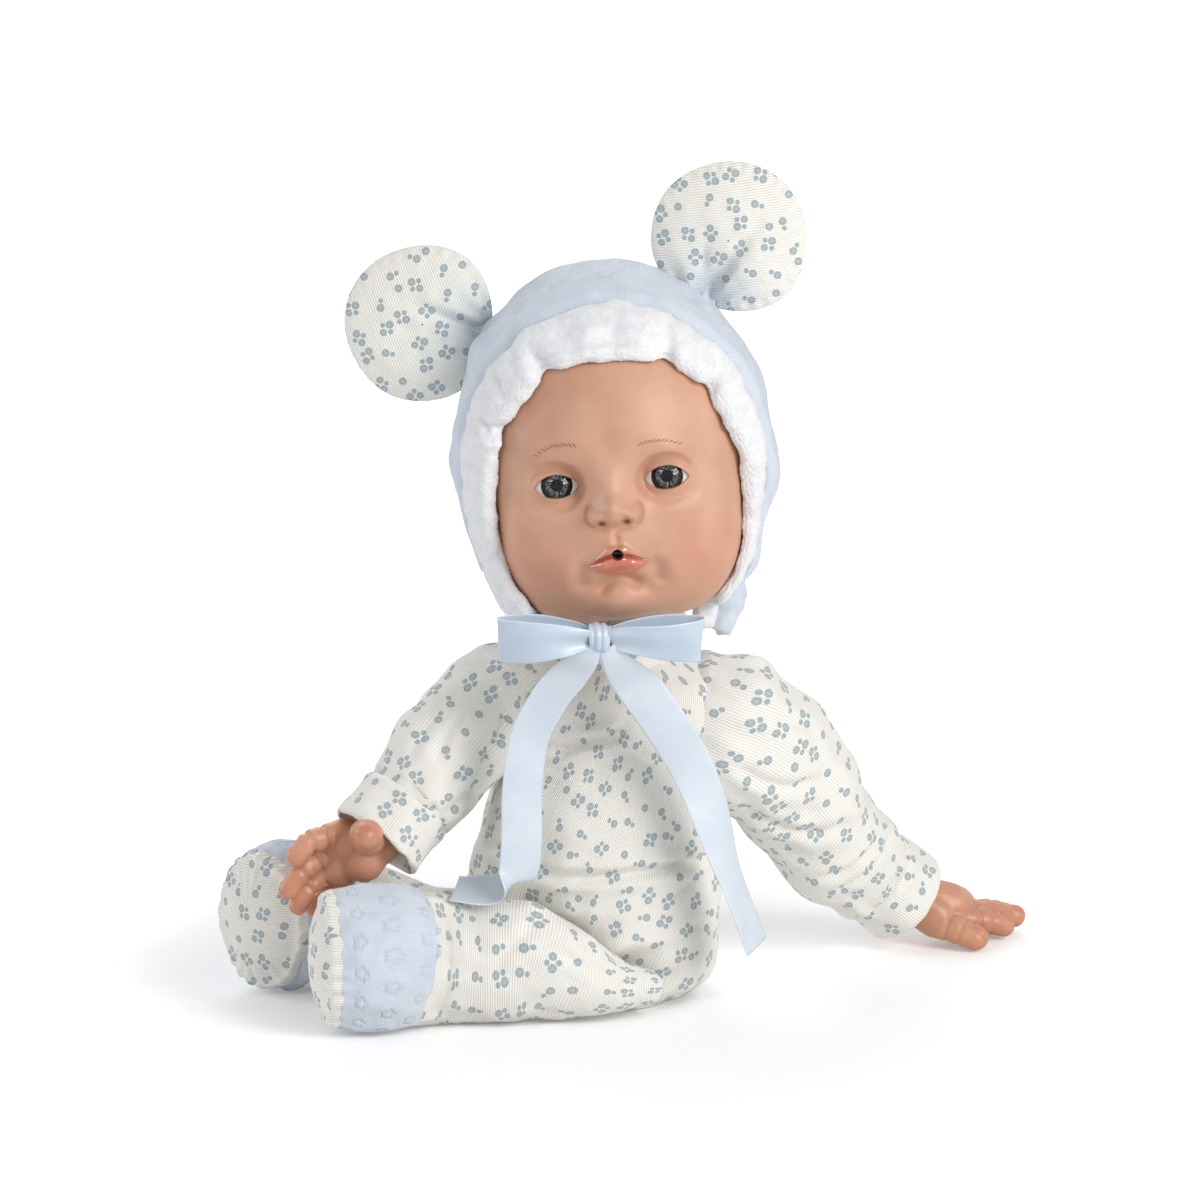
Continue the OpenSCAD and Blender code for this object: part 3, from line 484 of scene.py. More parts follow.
def vinyl(name, base, deep, roughness, gloss):
    """Soft vinyl skin with painted blush, painted shade and wet places, taken from the piece's own painted
    attributes.
    """
    m = Paint(name, roughness, Subsurface_Weight=0.14, Subsurface_Scale=0.004, Specular_IOR_Level=gloss)
    m.set(Subsurface_Radius=(1.0, 0.35, 0.2), Coat_Roughness=0.07, Coat_IOR=1.75)
    where = m.where()
    mottle, pores = m.noise(where, 0.07, 3), m.noise(where, 2.2, 2)
    # The painted colour factors, with painted shade among them.
    tint_and_painted_shade = m.node("Attribute", attribute_name="tint_and_painted_shade").outputs["Color"]
    colour = m.mix(1.0, m.mix(m.step(mottle, 0.3, 0.72), deep, base), tint_and_painted_shade, "MULTIPLY")
    wet = m.painted("wet")
    rough = m.plus(m.line(mottle, 0.12, roughness - 0.06), m.times(wet, -0.3))
    return m.set(Base_Color=colour, Normal=m.bump(pores, 0.05, 0.08), Roughness=rough, Coat_Weight=wet)


def plain(name, colour, roughness, bump, size, **sockets):
    """Moulded plastic or metal: a light grain and a slight change of tone."""
    m = Paint(name, roughness, **sockets)
    grain = m.noise(m.where(), size, 3)
    darker = tuple(v * 0.86 for v in colour[:3]) + (1.0,)
    shade = m.mix(m.step(grain, 0.25, 0.75), darker, colour)
    rough = m.line(grain, 0.12, roughness - 0.06)
    return m.set(Base_Color=shade, Normal=m.bump(grain, bump, 0.1), Roughness=rough)


def eye_paint():
    """The painted iris: dark rim, silver-grey rays and black pupil, by distance and turn from its centre."""
    m = Paint("iris", 0.7, Specular_IOR_Level=0.0)
    xy = m.parts(m.cloth())
    r = m.vector("LENGTH", m.combine(xy[0], xy[1]))
    turn = m.math("ARCTAN2", xy[1], xy[0])
    spoke = m.scale(m.combine(m.math("COSINE", turn), m.math("SINE", turn), m.times(r, 0.25 / 3)), 3.0)
    rays, fine = m.noise(spoke, 3.2, 4, 0.7), m.noise(spoke, 9.0, 2, 0.6)
    streak = m.step(m.plus(m.times(rays, 0.7), m.times(fine, 0.4)), 0.52, 0.7)
    streak = m.times(streak, m.step(r, 4.7, 3.0, 0.06, 1.0))
    body = m.mix(streak, rgb(9, 9, 10), rgb(192, 196, 200))
    return m.set(Base_Color=m.mix(m.step(r, 2.45, 2.05), body, rgb(2, 2, 2)))


PRINT = {key: print_cloth("print_" + key, seed, turn) for key, seed, turn in (
    ("body", 3.1, 0.35), ("sleeve_left", 8.4, 0.0), ("sleeve_right", 5.7, 0.0), ("legs", 1.9, math.pi / 2),
    ("cuffs", 12.6, 0.0), ("ears", 17.2, 0.5), ("soles", 21.8, math.pi / 2))}
KNIT = blue_knit("blue_knit", 0.5)
VELOUR = blue_knit("blue_velour", 0.9)
PLUSH = plush("plush")
SATIN = satin("satin", rgb(202, 213, 225), rgb(214, 223, 233))
# Painted shade: the same satin made deeper for the bow's loops and knot, standing in for the shade they sit
# in.
SHADED_LOOP_SATIN = satin("loop_satin_painted_shade", rgb(186, 201, 219), rgb(200, 213, 228))
FACE = vinyl("face_vinyl", rgb(212, 166, 140), rgb(204, 156, 130), 0.44, 0.4)
EYE_WHITE = plain("eye_white", rgb(236, 232, 226), 0.16, 0.02, 1.5, Coat_Weight=0.6)
IRIS = eye_paint()
CORNEA = Paint("cornea", 0.02, Transmission_Weight=1.0, IOR=1.05, Coat_Weight=0.65, Coat_Roughness=0.01,
               Coat_IOR=1.5).material
BROW = plain("brow_paint", rgb(166, 112, 82), 0.6, 0.02, 3.0)
HAND = vinyl("hand_vinyl", rgb(208, 152, 122), rgb(194, 136, 108), 0.38, 0.5)


# ---------------------------------------------------------------- stage, light and camera
# Each lamp's name, place in m, size, power and colour
LAMPS = (
    ("key", (1.3, -1.25, 1.05), 0.9, 25.5, (1, 0.985, 0.965)),
    ("fill", (-1.1, -1.6, 1.2), 0.4, 5.0, (0.98, 0.99, 1)),
    ("side", (-1.6, 0.35, 0.5), 0.8, 7.0, (0.97, 0.985, 1)),
    ("back", (-0.4, 1.3, 1.2), 0.9, 7.0, (1, 1, 1)),
)
LAMP_AIM = Vector((0, 0, 0.14))
CAMERA_RISE, CAMERA_REACH, CAMERA_LENS = math.radians(14), 4.0, 330.0
CAMERA_AIM = Vector((0, -12, 151)) * MM


def aimed(name, data, place, aim):
    """A lamp or camera at a place, looking at another."""
    holder = bpy.data.objects.new(name, data)
    bpy.context.scene.collection.objects.link(holder)
    holder.location = place
    holder.rotation_euler = (aim - holder.location).to_track_quat("-Z", "Y").to_euler()
    return holder


def floor():
    """A white floor that takes the doll's shadow and lights up for the camera away from it."""
    bpy.ops.mesh.primitive_plane_add(size=12.0, location=(0, 0, -0.0002))
    plane = bpy.context.object
    plane.name = "floor"
    m = Paint("floor", 0.9, Specular_IOR_Level=0.1)
    m.set(Base_Color=(0.93, 0.93, 0.93, 1), Emission_Color=(1, 1, 1, 1))
    away = m.step(m.vector("LENGTH", m.where()), 140.0, 300.0, 0.2, 1.0)
    m.set(Emission_Strength=m.times(away, m.node("LightPath").outputs["Is Camera Ray"]))
    plane.data.materials.append(m.material)


def studio():
    """A pale surround, which the camera, glass and gloss see as plain white, four lamps and the camera."""
    scene = bpy.context.scene
    scene.world = bpy.data.worlds.new("studio")
    scene.world.use_nodes = True
    w = Nodes(scene.world.node_tree)
    rays = w.node("LightPath").outputs
    kinds = {0: rays["Is Transmission Ray"], 1: rays["Is Glossy Ray"]}
    glass = w.node("Math", kinds, operation="ADD", use_clamp=True).outputs[0]
    seen = w.node("Math", {0: rays["Is Camera Ray"], 1: glass}, operation="ADD", use_clamp=True).outputs[0]
    soft = w.tree.nodes["Background"]
    soft.inputs[0].default_value, soft.inputs[1].default_value = (0.95, 0.97, 1.0, 1), 0.4
    white = w.node("Background", {"Color": (1, 1, 1, 1), "Strength": 1.0})
    both = w.node("MixShader", {0: seen, 1: soft.outputs[0], 2: white.outputs[0]})
    w.join(both.outputs[0], w.tree.nodes["World Output"].inputs[0])
    for name, place, size, power, colour in LAMPS:
        lamp = bpy.data.lights.new(name, "AREA")
        lamp.size, lamp.energy, lamp.color = size, power, colour
        aimed(name, lamp, place, LAMP_AIM)
    view = Vector((0, -math.cos(CAMERA_RISE), math.sin(CAMERA_RISE))) * CAMERA_REACH
    scene.camera = aimed("camera", bpy.data.cameras.new("camera"), CAMERA_AIM + view, CAMERA_AIM)
    scene.camera.data.lens, scene.camera.data.sensor_width = CAMERA_LENS, 36
    scene.view_settings.view_transform = "Standard"


# ---------------------------------------------------------------- limbs
def limb(stations, along, around, start=0.0, end=0.0):
    """A grid over a tube through stations x, y, z, half width, half height, with a uv in mm and how far along
    each row lies; start and end are the depths of its domed ends."""
    core = curve(stations, along)
    t = unit(np.gradient(core[:, :3], axis=0))
    side = unit(grid(-t[:, 1], t[:, 0], 0))
    up = np.cross(t, side)
    shrink = np.ones(along)
    angles = np.radians(np.linspace(82, 6, 10))
    for depth, last in ((start, False), (end, True)):
        if not depth:
            continue
        k = -1 if last else 0
        rows = np.repeat(core[k][None], len(angles), axis=0)
        rows[:, :3] += (t[k] if last else -t[k]) * (depth * np.cos(angles))[:, None]
        blocks = [(core, rows), (shrink, np.sin(angles))]
        blocks += [(v, np.repeat(v[k][None], len(angles), axis=0)) for v in (t, side, up)]
        core, shrink, t, side, up = (np.concatenate([a, b] if last else [b[::-1], a]) for a, b in blocks)
    turn = circle(around)[:, None] - math.pi / 2
    wide, high = side * (core[:, 3] * shrink)[:, None], up * (core[:, 4] * shrink)[:, None]
    p = core[:, None, :3] + wide[:, None] * np.cos(turn) + high[:, None] * np.sin(turn)
    run = run_along(core[:, :3], 1e-6)
    radius = (core[:, 3].mean() + core[:, 4].mean()) / 2
    return p, grid(circle(around) * radius, run[:, None]), run


# ---------------------------------------------------------------- romper body
TORSO_FOLDS = [
    ([(-24, -33, 98), (-10, -37, 101), (4, -37, 105), (12, -34, 111)], 2.9, 1.8),
    ([(-30, -34, 55), (-12, -40, 53), (12, -40, 54), (34, -30, 56), (43, -14, 54)], 3.0, 2.0),
    ([(8, -38, 101), (20, -35, 96), (30, -28, 94)], 0.9, 2.0),
    ([(44, -16, 60), (36, -26, 49), (24, -34, 42)], 0.9, 1.6),
    ([(-44, -14, 62), (-36, -28, 60), (-26, -34, 66)], 0.9, 1.8),
    ([(20, -33, 118), (27, -28, 108), (30, -26, 96)], 0.8, 1.6),
    ([(-18, -34, 116), (-24, -31, 106), (-24, -32, 98)], 0.8, 1.5),
    ([(40, -22, 34), (32, -33, 26), (22, -38, 20)], 0.9, 1.8),
    ([(-20, 35, 84), (0, 38, 80), (22, 34, 84)], 0.8, 2.4),
]
# Heights, and where the body's axis has its x and its y there
TORSO_X = [2, 40, 78, 96, 121, 135], [-1, -3, 2, 5, 7.5, 8]
TORSO_Y = [2, 60, 96, 121, 135], [0, 0, -2, -4, -4]
FAR = 200
COLLAR = [(18.1, -5.5), (18.9, -2), (19.3, 3), (19.4, 7.6), (18.6, 9.6), (17.4, 8.6), (16.6, 7.0),
          (14.5, 6.7), (12.4, 6.6), (12.2, 6.0)]
GUSSET = [(0.05, 1.5), (20, 1.5), (29, 1.7), (30.4, 1.0), (29.4, 0.3), (26, 0.1), (12, 0.15), (0.05, 0.15)]
FLAP_HALF, FLAP_LOW, FLAP_HIGH = 24.6, 18.5, 75.5


def torso_radii(heights, centre, around):
    """Outermost radius of the CAD body at each height and turn, bridged where it is open, and softened."""
    tree = surface_of("romper_torso")
    ways = [Vector((math.cos(a), math.sin(a), 0)) for a in circle(around)]
    radii = np.zeros((len(heights), around))
    for row, middle, z in zip(radii, centre, heights):
        hits = [tree.ray_cast(Vector((*middle, z)) + way * FAR, -way, FAR)[3] for way in ways]
        row[:] = [0 if hit is None else FAR - hit for hit in hits]
        gaps = row < 8
        if gaps.any() and not gaps.all():
            at = np.flatnonzero(~gaps)
            row[gaps] = np.interp(np.flatnonzero(gaps), at, row[at], period=around)
    for _ in range(5):
        edge = np.pad(radii, ((1, 1), (0, 0)), mode="edge")
        radii = (edge[:-2] + edge[2:] + np.roll(radii, 1, 1) + np.roll(radii, -1, 1) + 2 * radii) / 6
    return radii


def romper():
    """The romper's body: the CAD outline, with gathers below the collar and folds at the chest and belly."""
    low, high = (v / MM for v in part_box("romper_torso"))
    heights = np.linspace(low.z + 0.6, high.z - 0.5, 150)
    centre = grid(np.interp(heights, *TORSO_X), np.interp(heights, *TORSO_Y))
    around = 220
    turn = circle(around)
    from_left = (turn + math.pi) % (2 * math.pi) - math.pi
    shoulder = bell(heights, 112, 17)[:, None]
    radii = torso_radii(heights, centre, around) + 6.0 * shoulder * bell(turn, math.pi, 0.62)
    radii += 8.0 * bell(heights, 130, 8)[:, None] * bell(from_left, 0, 0.5)
    radii += 3.5 * shoulder * bell(from_left, 0, 0.55)
    p = grid(centre[:, :1] + radii * np.cos(turn), centre[:, 1:] + radii * np.sin(turn), heights[:, None])
    pleats = gathers(heights, around, high.z - 2, 9.0, 0.55, 17, 3)
    pleats += gathers(heights, around, low.z, 7.0, 0.6, 21, 5)
    lift = creases(p, TORSO_FOLDS) + lumps(p, (0.55, 34, 2), (0.22, 13, 7)) + pleats - 0.25
    body = skin("romper_body", raised(p, lift), grid(turn * 42, (heights - heights[0])[:, None]))
    thickened(body, 1.2)
    dress(body, PRINT["body"], "torso", "print_rib", "romper_torso", "torso_filling")


def collar():
    """The narrow turned collar round the neck."""
    turn = circle(160)
    out, up = profile_curve(COLLAR, 40)[..., None]
    radius = out + 0.35 * np.sin(turn * 9 + 1) + 0.2 * np.sin(turn * 17)
    p = grid(8 + radius * np.cos(turn), -4 + radius * np.sin(turn), 131 + up + 0.3 * np.sin(turn * 5))
    piece = skin("collar_cloth", p[::-1], grid(turn * 18, up)[::-1])
    dress(piece, PRINT["body"], "torso", "print_rib", "neck_collar")


def gusset():
    """The round seat that the romper's body is sewn to, with its seam allowance as a low ridge."""
    turn = circle(120)
    out, up = profile_curve(GUSSET, 90)[..., None]
    pucker = 0.12 * np.sin(turn * 30) * bell(out, 29, 2.5)
    p = grid(out * np.cos(turn), out * np.sin(turn), np.maximum(up + pucker, 0.05))
    piece = skin("seat_gusset_cloth", p, p[..., :2], seam=False)
    dress(piece, PRINT["body"], "torso", "print_rib", "seat_gusset")


def back_flap():
    """The flap over the module's pocket: a hemmed panel with a stitched line along its edge."""
    tree = surface_of("back_flap")
    x, z = np.meshgrid(np.linspace(-FLAP_HALF, FLAP_HALF, 110), np.linspace(FLAP_LOW, FLAP_HIGH, 130))
    depth = np.zeros(x.shape)
    for k, i in np.ndindex(x.shape):
        hit = tree.ray_cast(Vector((x[k, i], 90, z[k, i])), Vector((0, -1, 0)), 80)[0]
        depth[k, i] = hit.y if hit else depth[k, i - 1]
    inset = np.minimum(FLAP_HALF - np.abs(x), np.minimum(z - FLAP_LOW, FLAP_HIGH - z))
    hem = 0.25 * ramp(inset, 0.5, 1.5) * ramp(4.0 - inset, 0, 0.6) - 0.9 * bell(inset, 0, 0.9)
    hem -= 0.45 * bell(inset, 4.2, 0.5)
    soft = lumps(grid(x, depth, z), (0.3, 19, 131), (0.12, 7, 133))
    piece = skin("back_flap_cloth", grid(x, depth + hem + soft, z), grid(x, z), wrap=False)
    dress(thickened(piece, 1.0), PRINT["body"], "torso", "print_rib", "back_flap")


# ---------------------------------------------------------------- sleeves and cuffs
ARMS = {
    "left": [(54, 2, 107, 19, 19), (62, 13, 88, 20, 20.5), (76, 29, 63, 20, 20.5), (88, 42, 42.5, 19, 19.5),
             (100, 52, 31, 17, 17)],
    "right": [(-43, -3, 106, 19, 19), (-52, -12, 98, 20, 20), (-61, -19, 88.5, 20, 20.5),
              (-70, -25, 78.5, 17, 17)],
}
SLEEVES = {
    "left": [(31, -5, 112, 14, 21), (44, -1, 103, 20, 27), (56, 8, 92, 21.5, 26.5), (67, 19, 79, 22, 25.5),
             (76, 28.5, 64.5, 21.5, 24.5), (86.5, 40, 45.5, 20, 22), (96, 49, 34, 18.6, 19.6),
             (100, 52, 31, 17.0, 17.2), (103.2, 54.4, 28.6, 15.2, 15.2)],
    "right": [(-18, 2, 113, 13, 17), (-30, 1, 112, 19, 19.5), (-41, -4, 107.5, 20, 20.5),
              (-52, -12, 97.5, 20.5, 21), (-61.5, -19.5, 87.5, 20, 20.5), (-68, -23.6, 80.6, 18.4, 18.6),
              (-70, -25, 78.5, 17.0, 17.2), (-72.9, -26.9, 75.3, 15.2, 15.2)],
}
SLEEVE_FOLDS = {
    "left": [
        ([(47, -20, 92), (60, -14, 82), (74, -5, 79), (88, 6, 80)], 1.5, 2.2),
        ([(50, -12, 76), (62, 0, 66), (76, 10, 60), (90, 19, 61)], 1.8, 2.4),
        ([(78, 26, 44), (88, 28, 44), (96, 34, 50)], 1.3, 1.9),
        ([(56, -14, 112), (66, -6, 104), (78, 4, 98)], 1.0, 2.2),
        ([(84, 30, 36), (92, 34, 40), (100, 40, 48)], 1.0, 1.6),
    ],
    "right": [
        ([(-30, -22, 116), (-38, -26, 104), (-42, -30, 94), (-40, -34, 84), (-38, -34, 76)], 2.2, 2.0),
        ([(-48, -22, 112), (-56, -30, 104), (-60, -34, 94)], 1.0, 2.2),
        ([(-44, -32, 84), (-52, -38, 80), (-60, -40, 76)], 1.0, 2.0),
        ([(-56, -22, 112), (-64, -30, 104), (-70, -36, 94)], 0.8, 2.2),
    ],
}
SLEEVE_ROOT = 6.0
CUFF = [(-1.5, -1.2), (-0.9, 0.1), (0.4, 0.9), (3.0, 0.95), (9.0, 0.8), (14.0, 1.1), (16.8, 1.2), (17.8, 0.7),
        (18.0, -0.2), (17.4, -1.1), (14.0, -1.5), (8.0, -1.9), (3.0, -2.2)]
CUFF_LENGTH, CUFF_RADIUS = 18.0, 17.0


def sleeve(side):
    """A stuffed sleeve: gathered at the armhole and at the cuff, folded where the elbow bends."""
    sign = 1 if side == "left" else -1
    p, uv, run = limb(SLEEVES[side], 130, 170, start=SLEEVE_ROOT)
    pleats = gathers(run, 170, SLEEVE_ROOT + 14, 9.0, 0.7, 13, 31)
    pleats += gathers(run, 170, run[-1] - 5, 7.0, 0.8, 15, 33) * ramp(run[-1] - run, 2, 6)[:, None]
    lift = creases(p, SLEEVE_FOLDS[side]) + lumps(p, (0.9, 30, 5 + sign), (0.35, 12, 9 + sign)) + pleats
    piece = skin("sleeve_" + side + "_cloth", raised(p, lift), uv, ends=True)
    dress(piece, PRINT["sleeve_" + side], None, "print_rib", "sleeve_" + side, "arm_filling_" + side)
    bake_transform(piece)


def wrist(side):
    """The middle of the arm's cut end, and the way it points."""
    core = curve(ARMS[side], 60)[:, :3]
    return core[-1], unit(core[-1] - core[-2])


def cuff(side):
    """The turned cuff: a double band that stands a little proud of the sleeve, open round the wrist."""
    end, way = wrist(side)
    s, h = profile_curve(CUFF, 46)[..., None]
    turn = circle(150)
    flat = unit([-way[1], way[0], 0])
    out = flat * np.cos(turn)[:, None] + np.cross(way, flat) * np.sin(turn)[:, None]
    flare = CUFF_RADIUS + h + 0.9 * ramp(s, 4, CUFF_LENGTH) * (0.6 + 0.4 * np.sin(2 * turn + 0.7))
    p = end + way * 1.2 + way * s[..., None] + out * flare[..., None]
    uv = grid(turn * CUFF_RADIUS, run_along(np.hstack([s, h]))[:, None])
    piece = skin("cuff_" + side + "_cloth", raised(p, lumps(p, (0.45, 16, 41), (0.18, 7, 43))), uv)
    dress(piece, PRINT["cuffs"], "arm_" + side, "print_rib", "cuff_" + side)


# ---------------------------------------------------------------- legs and feet
LEGS = {
    "left": [(17, -34.5, 12, 6.5, 7.5), (5, -37.5, 13, 9, 9.5), (-10, -41, 16.9, 13, 16.5),
             (-26, -41, 21.9, 17, 21.5), (-46, -40.8, 22.4, 17.4, 22.6), (-60, -43, 23.8, 18, 24.0),
             (-72, -50, 25.6, 17.6, 24.2), (-82, -54.5, 26.5, 15, 22)],
    "right": [(-41, -11, 18, 8, 9.5), (-51, -8, 19.9, 12.5, 17), (-70, -3, 21.9, 16, 21.5),
              (-92, 4, 23, 17.6, 23), (-101, 6.5, 25, 17.8, 24), (-109, 6, 26, 16, 23)],
}
LEG_FOLDS = {
    "left": [([(-16, -58, 34), (-6, -56, 26), (4, -50, 22)], 1.2, 2.0),
             ([(-40, -62, 26), (-30, -60, 36), (-22, -50, 42)], 0.9, 2.4)],
    "right": [([(-60, -20, 34), (-54, -24, 24), (-48, -20, 16)], 1.0, 2.0)],
}
FEET = {
    "left": [(-68, -48, 25.9, 19, 25.5), (-80, -54, 27.9, 21, 27.5), (-97, -57.5, 27.9, 20, 26.5)],
    "right": [(-104, 7, 25.4, 19, 25), (-115, 4.5, 27.9, 21.5, 27.5), (-123, -5, 27.9, 21.5, 26.8)],
}
LOWEST, BAND_LOWEST = 0.4, 1.5


def star_depth(u, v, pitch_u, pitch_v, size, offset=0.0):
    """1 on the lines of a brick pattern of five-pointed stars over u, v in mm, fading to 0 beside them."""
    row = np.floor(v / pitch_v)
    u = u + (row % 2) * pitch_u / 2 + offset
    x = u - (np.floor(u / pitch_u) + 0.5) * pitch_u
    y = v - (row + 0.5) * pitch_v
    r, a = np.hypot(x, y), np.arctan2(y, x) + math.pi / 2
    a = np.abs((a + math.pi / 5) % (2 * math.pi / 5) - math.pi / 5)
    notch = 0.52 * size * np.array([math.cos(math.pi / 5), math.sin(math.pi / 5)])
    edge = unit(notch - (size, 0))
    d = (r * np.cos(a) - size) * edge[1] - r * np.sin(a) * edge[0]
    return bell(d, 0, 0.42) * ramp(1.08 * size - r, 0, 0.5)


def leg(side):
    """The stuffed leg of print cloth, which runs on inside the foot band."""
    p, uv, run = limb(LEGS[side], 110, 160, start=6.0, end=5.0)
    lift = lumps(p, (0.8, 26, 61), (0.3, 11, 63)) + creases(p, LEG_FOLDS[side])
    lift += gathers(run, 160, run[-1] - 26, 8.0, 0.5, 17, 51)
    p = raised(p, lift * ramp(p[..., 2], 0.5, 6))
    p[..., 2] = np.maximum(p[..., 2], LOWEST)
    piece = skin("leg_" + side + "_cloth", p, uv, ends=True)
    dress(piece, PRINT["legs"], side + "_leg", "print_rib", "leg_" + side, "leg_filling_" + side)


def foot(side):
    """The velour foot band with embossed stars, closed by the gathered print sole."""
    p, uv, run = limb(FEET[side], 110, 220)
    last = run[-1]
    centre = p.mean(1, keepdims=True)
    drawn = 0.05 * ramp(run, last - 8, last) + 0.02 * ramp(-run, -7, 0)
    p = centre + (p - centre) * (1 - drawn)[:, None, None]
    u, v = uv[..., 0], uv[..., 1]
    stars = star_depth(u, v, u[0, -1] / 14, 9.6, 2.9) * ramp(v, 2, 5) * ramp(last - v, 3, 6)
    lift = lumps(p, (0.5, 22, 73), (0.25, 9, 75)) * ramp(p[..., 2], 0.5, 5) - 0.55 * stars
    p = raised(p, lift + gathers(run, 220, last, 5.0, 0.5, 27, 71))
    p[..., 2] = np.maximum(p[..., 2], BAND_LOWEST)
    piece = skin("foot_band_" + side + "_velour", p, uv)
    # The stars' depth, which the velour also darkens as painted shade.
    paint(piece, "pressed", stars.ravel())
    dress(thickened(piece, 1.2), VELOUR, side + "_leg", "blue_velour", "foot_band_" + side)
    sole(side, p)


def sole(side, band):
    """The oval print sole: a domed cushion, gathered where it is sewn to the band."""
    rim = band[-1]
    centre = rim.mean(0)
    way = unit((rim - band[-6]).mean(0))
    part = np.linspace(0, 1, 40)[:, None]
    f = 1 - part
    bulge = 9.0 * (1 - f**2.4) ** 0.75 + 1.6 * bell(f, 0.93, 0.07)
    spread = np.maximum(f * (1.012 + 0.035 * bell(f, 0.9, 0.08)), 0.004)
    rng = np.random.default_rng(81)
    turn = circle(len(rim))
    wave = np.sin(turn * 23 + rng.uniform(0, 6)) + 0.6 * np.sin(turn * 14 + rng.uniform(0, 6))
    wave += 0.5 * np.sin(turn * 9)
    out = bulge - 0.6 + np.exp(-part / 0.13) * (0.4 * wave - 0.5)
    p = centre + (rim - centre) * spread[..., None] + way * out[..., None]
    flat = unit(np.cross(way, (0, 0, 1)))
    uv = grid((p - centre) @ flat, (p - centre) @ np.cross(way, flat))
    p[..., 2] = np.maximum(p[..., 2], LOWEST)
    piece = skin("foot_sole_" + side + "_cloth", p, uv, seam=False)
    dress(piece, PRINT["soles"], side + "_leg", "print_rib", "foot_sole_" + side)


# ---------------------------------------------------------------- head
HEAD_AT, HEAD_TURN = np.array([5.0, -6.0, 207.0]), (-8.0, -5.5, -1.5)
SKULL_WIDE, SKULL_FRONT, SKULL_BACK, SKULL_HIGH, SKULL_LOW = 50, 53, 57, 60, 57.5
EYE_U, EYE_V, EYE_R, EYE_Y = 19.9, -8.8, 11.5, -33.6
LIP_V = -34.8
# Distances from the mouth's middle, and the heights there of the upper lip's and the lower lip's outer edge
LIP_TOP = [0, 0.8, 1.8, 2.8, 3.8, 5.2, 7.0, 9.2, 11.4], [2.7, 2.9, 3.4, 3.4, 2.8, 1.5, -0.1, -2.0, -3.5]
LIP_LOW = [0, 2, 4, 6, 7.6, 9.0, 10.2, 11.4], [-7.5, -7.45, -7.2, -6.7, -6.1, -5.3, -4.5, -3.6]
EYE_CREASE = [(29.8, -8.8), (26.8, -4.2), (20.3, -2.6), (13.4, -4.3), (10.6, -8.4)]
# Forms of the face, outward and forward. Hills are u, v, their widths, height and lean; grooves are a line,
# width and depth; a pair is the same on both sides of the face.
OUTWARD = {
    "hills": [(0, 26, 30, 14, 0.8), (0, 2, 5, 7, -1.0), (-0.3, 8.8, 4.4, 1.5, -0.75, 12),
              (1.0, 12.0, 5.5, 2.0, 0.3), (0, -52.0, 10.0, 5.4, 3.4)],
    "hill_pairs": [(33, -30, 13, 12, 1.4), (22, 2.0, 12, 6.0, 1.5, -6), (19.0, -41, 5.4, 9, 1.6, 8)],
    "grooves": [([(-30, -52), (-18, -57.6), (-8, -60.2), (0, -60.5), (8, -60.2), (18, -57.6), (30, -52)],
                 1.8, 1.0)],
    "groove_pairs": [([(10.6, -37.0), (12.8, -39.2), (14.0, -43.0), (13.4, -48.0)], 2.9, 1.2),
                     (EYE_CREASE, 0.9, 0.6),
                     ([(11, -13.4), (15, -16.8), (21, -17.6), (28, -15.6), (33, -11.2)], 2.4, 0.8)],
}
FORWARD = {
    "hills": [(0, -10, 4.4, 8.0, 2.2), (0, -18.0, 5.2, 5.0, 7.6), (0, -21.9, 2.6, 2.0, 1.3),
              (0, -35.0, 14.5, 8.5, 3.4), (0, -28.6, 1.3, 2.4, -1.0)],
    "hill_pairs": [(20, -8.8, 11.5, 8.8, -2.0), (12.2, -6.0, 4.6, 7, -2.1), (13.5, -17, 4.6, 7, -1.3),
                   (6.5, -20.6, 2.9, 3.1, 4.6), (4.5, -22.9, 1.5, 0.95, -3.6, 12), (2.6, -29.6, 1.6, 2.4,
                                                                                    0.25)],
    "grooves": [([(-9.0, -23.6), (-4, -24.6), (0, -25.0), (4, -24.6), (9.0, -23.6)], 1.5, 1.9),
                ([(-8.6, -50.0), (-6.0, -45.9), (-2.6, -43.6), (1.0, -43.2), (4.6, -44.9), (7.6, -49.0)],
                 2.1, 2.2),
                ([(-14, -52.5), (-8.0, -47.0), (0, -44.5), (8.0, -47.0), (14, -52.5)], 3.0, 1.6)],
    "groove_pairs": [([(6.6, -15.6), (9.3, -17.4), (9.9, -20.8), (8.4, -23.6), (5.8, -24.9)], 1.0, 1.7)],
}
# Washes of colour: hills and grooves as above, whose height or depth is the amount, and the colours of hills.
# The hills are blush on the chin, the nose's tip, the cheeks and under the eyes, and painted shade over the
# forehead, deepest on the doll's right, at the eyes' inner corners and over the outer upper lids.
HILL_BLUSH_AND_SHADE = [((0, -52, 13, 6, 0.35), (1.0, 0.86, 0.84)), ((-4, 27, 30, 17, 1.0), (0.93, 0.9, 0.88)),
               ((-26, 17, 13, 14, 0.7), (0.9, 0.88, 0.87)), ((0, -18, 6, 4, 0.4), (1.0, 0.92, 0.9))]
PAIR_BLUSH_AND_SHADE = [((31, -38, 14, 13, 0.75), (1.0, 0.84, 0.82)), ((13, -7, 7, 8, 0.5), (0.86, 0.78, 0.75)),
               ((24, -1, 9, 5, 0.15), (0.93, 0.84, 0.8)), ((20, -16, 10, 3, 0.25), (1.0, 0.9, 0.88))]
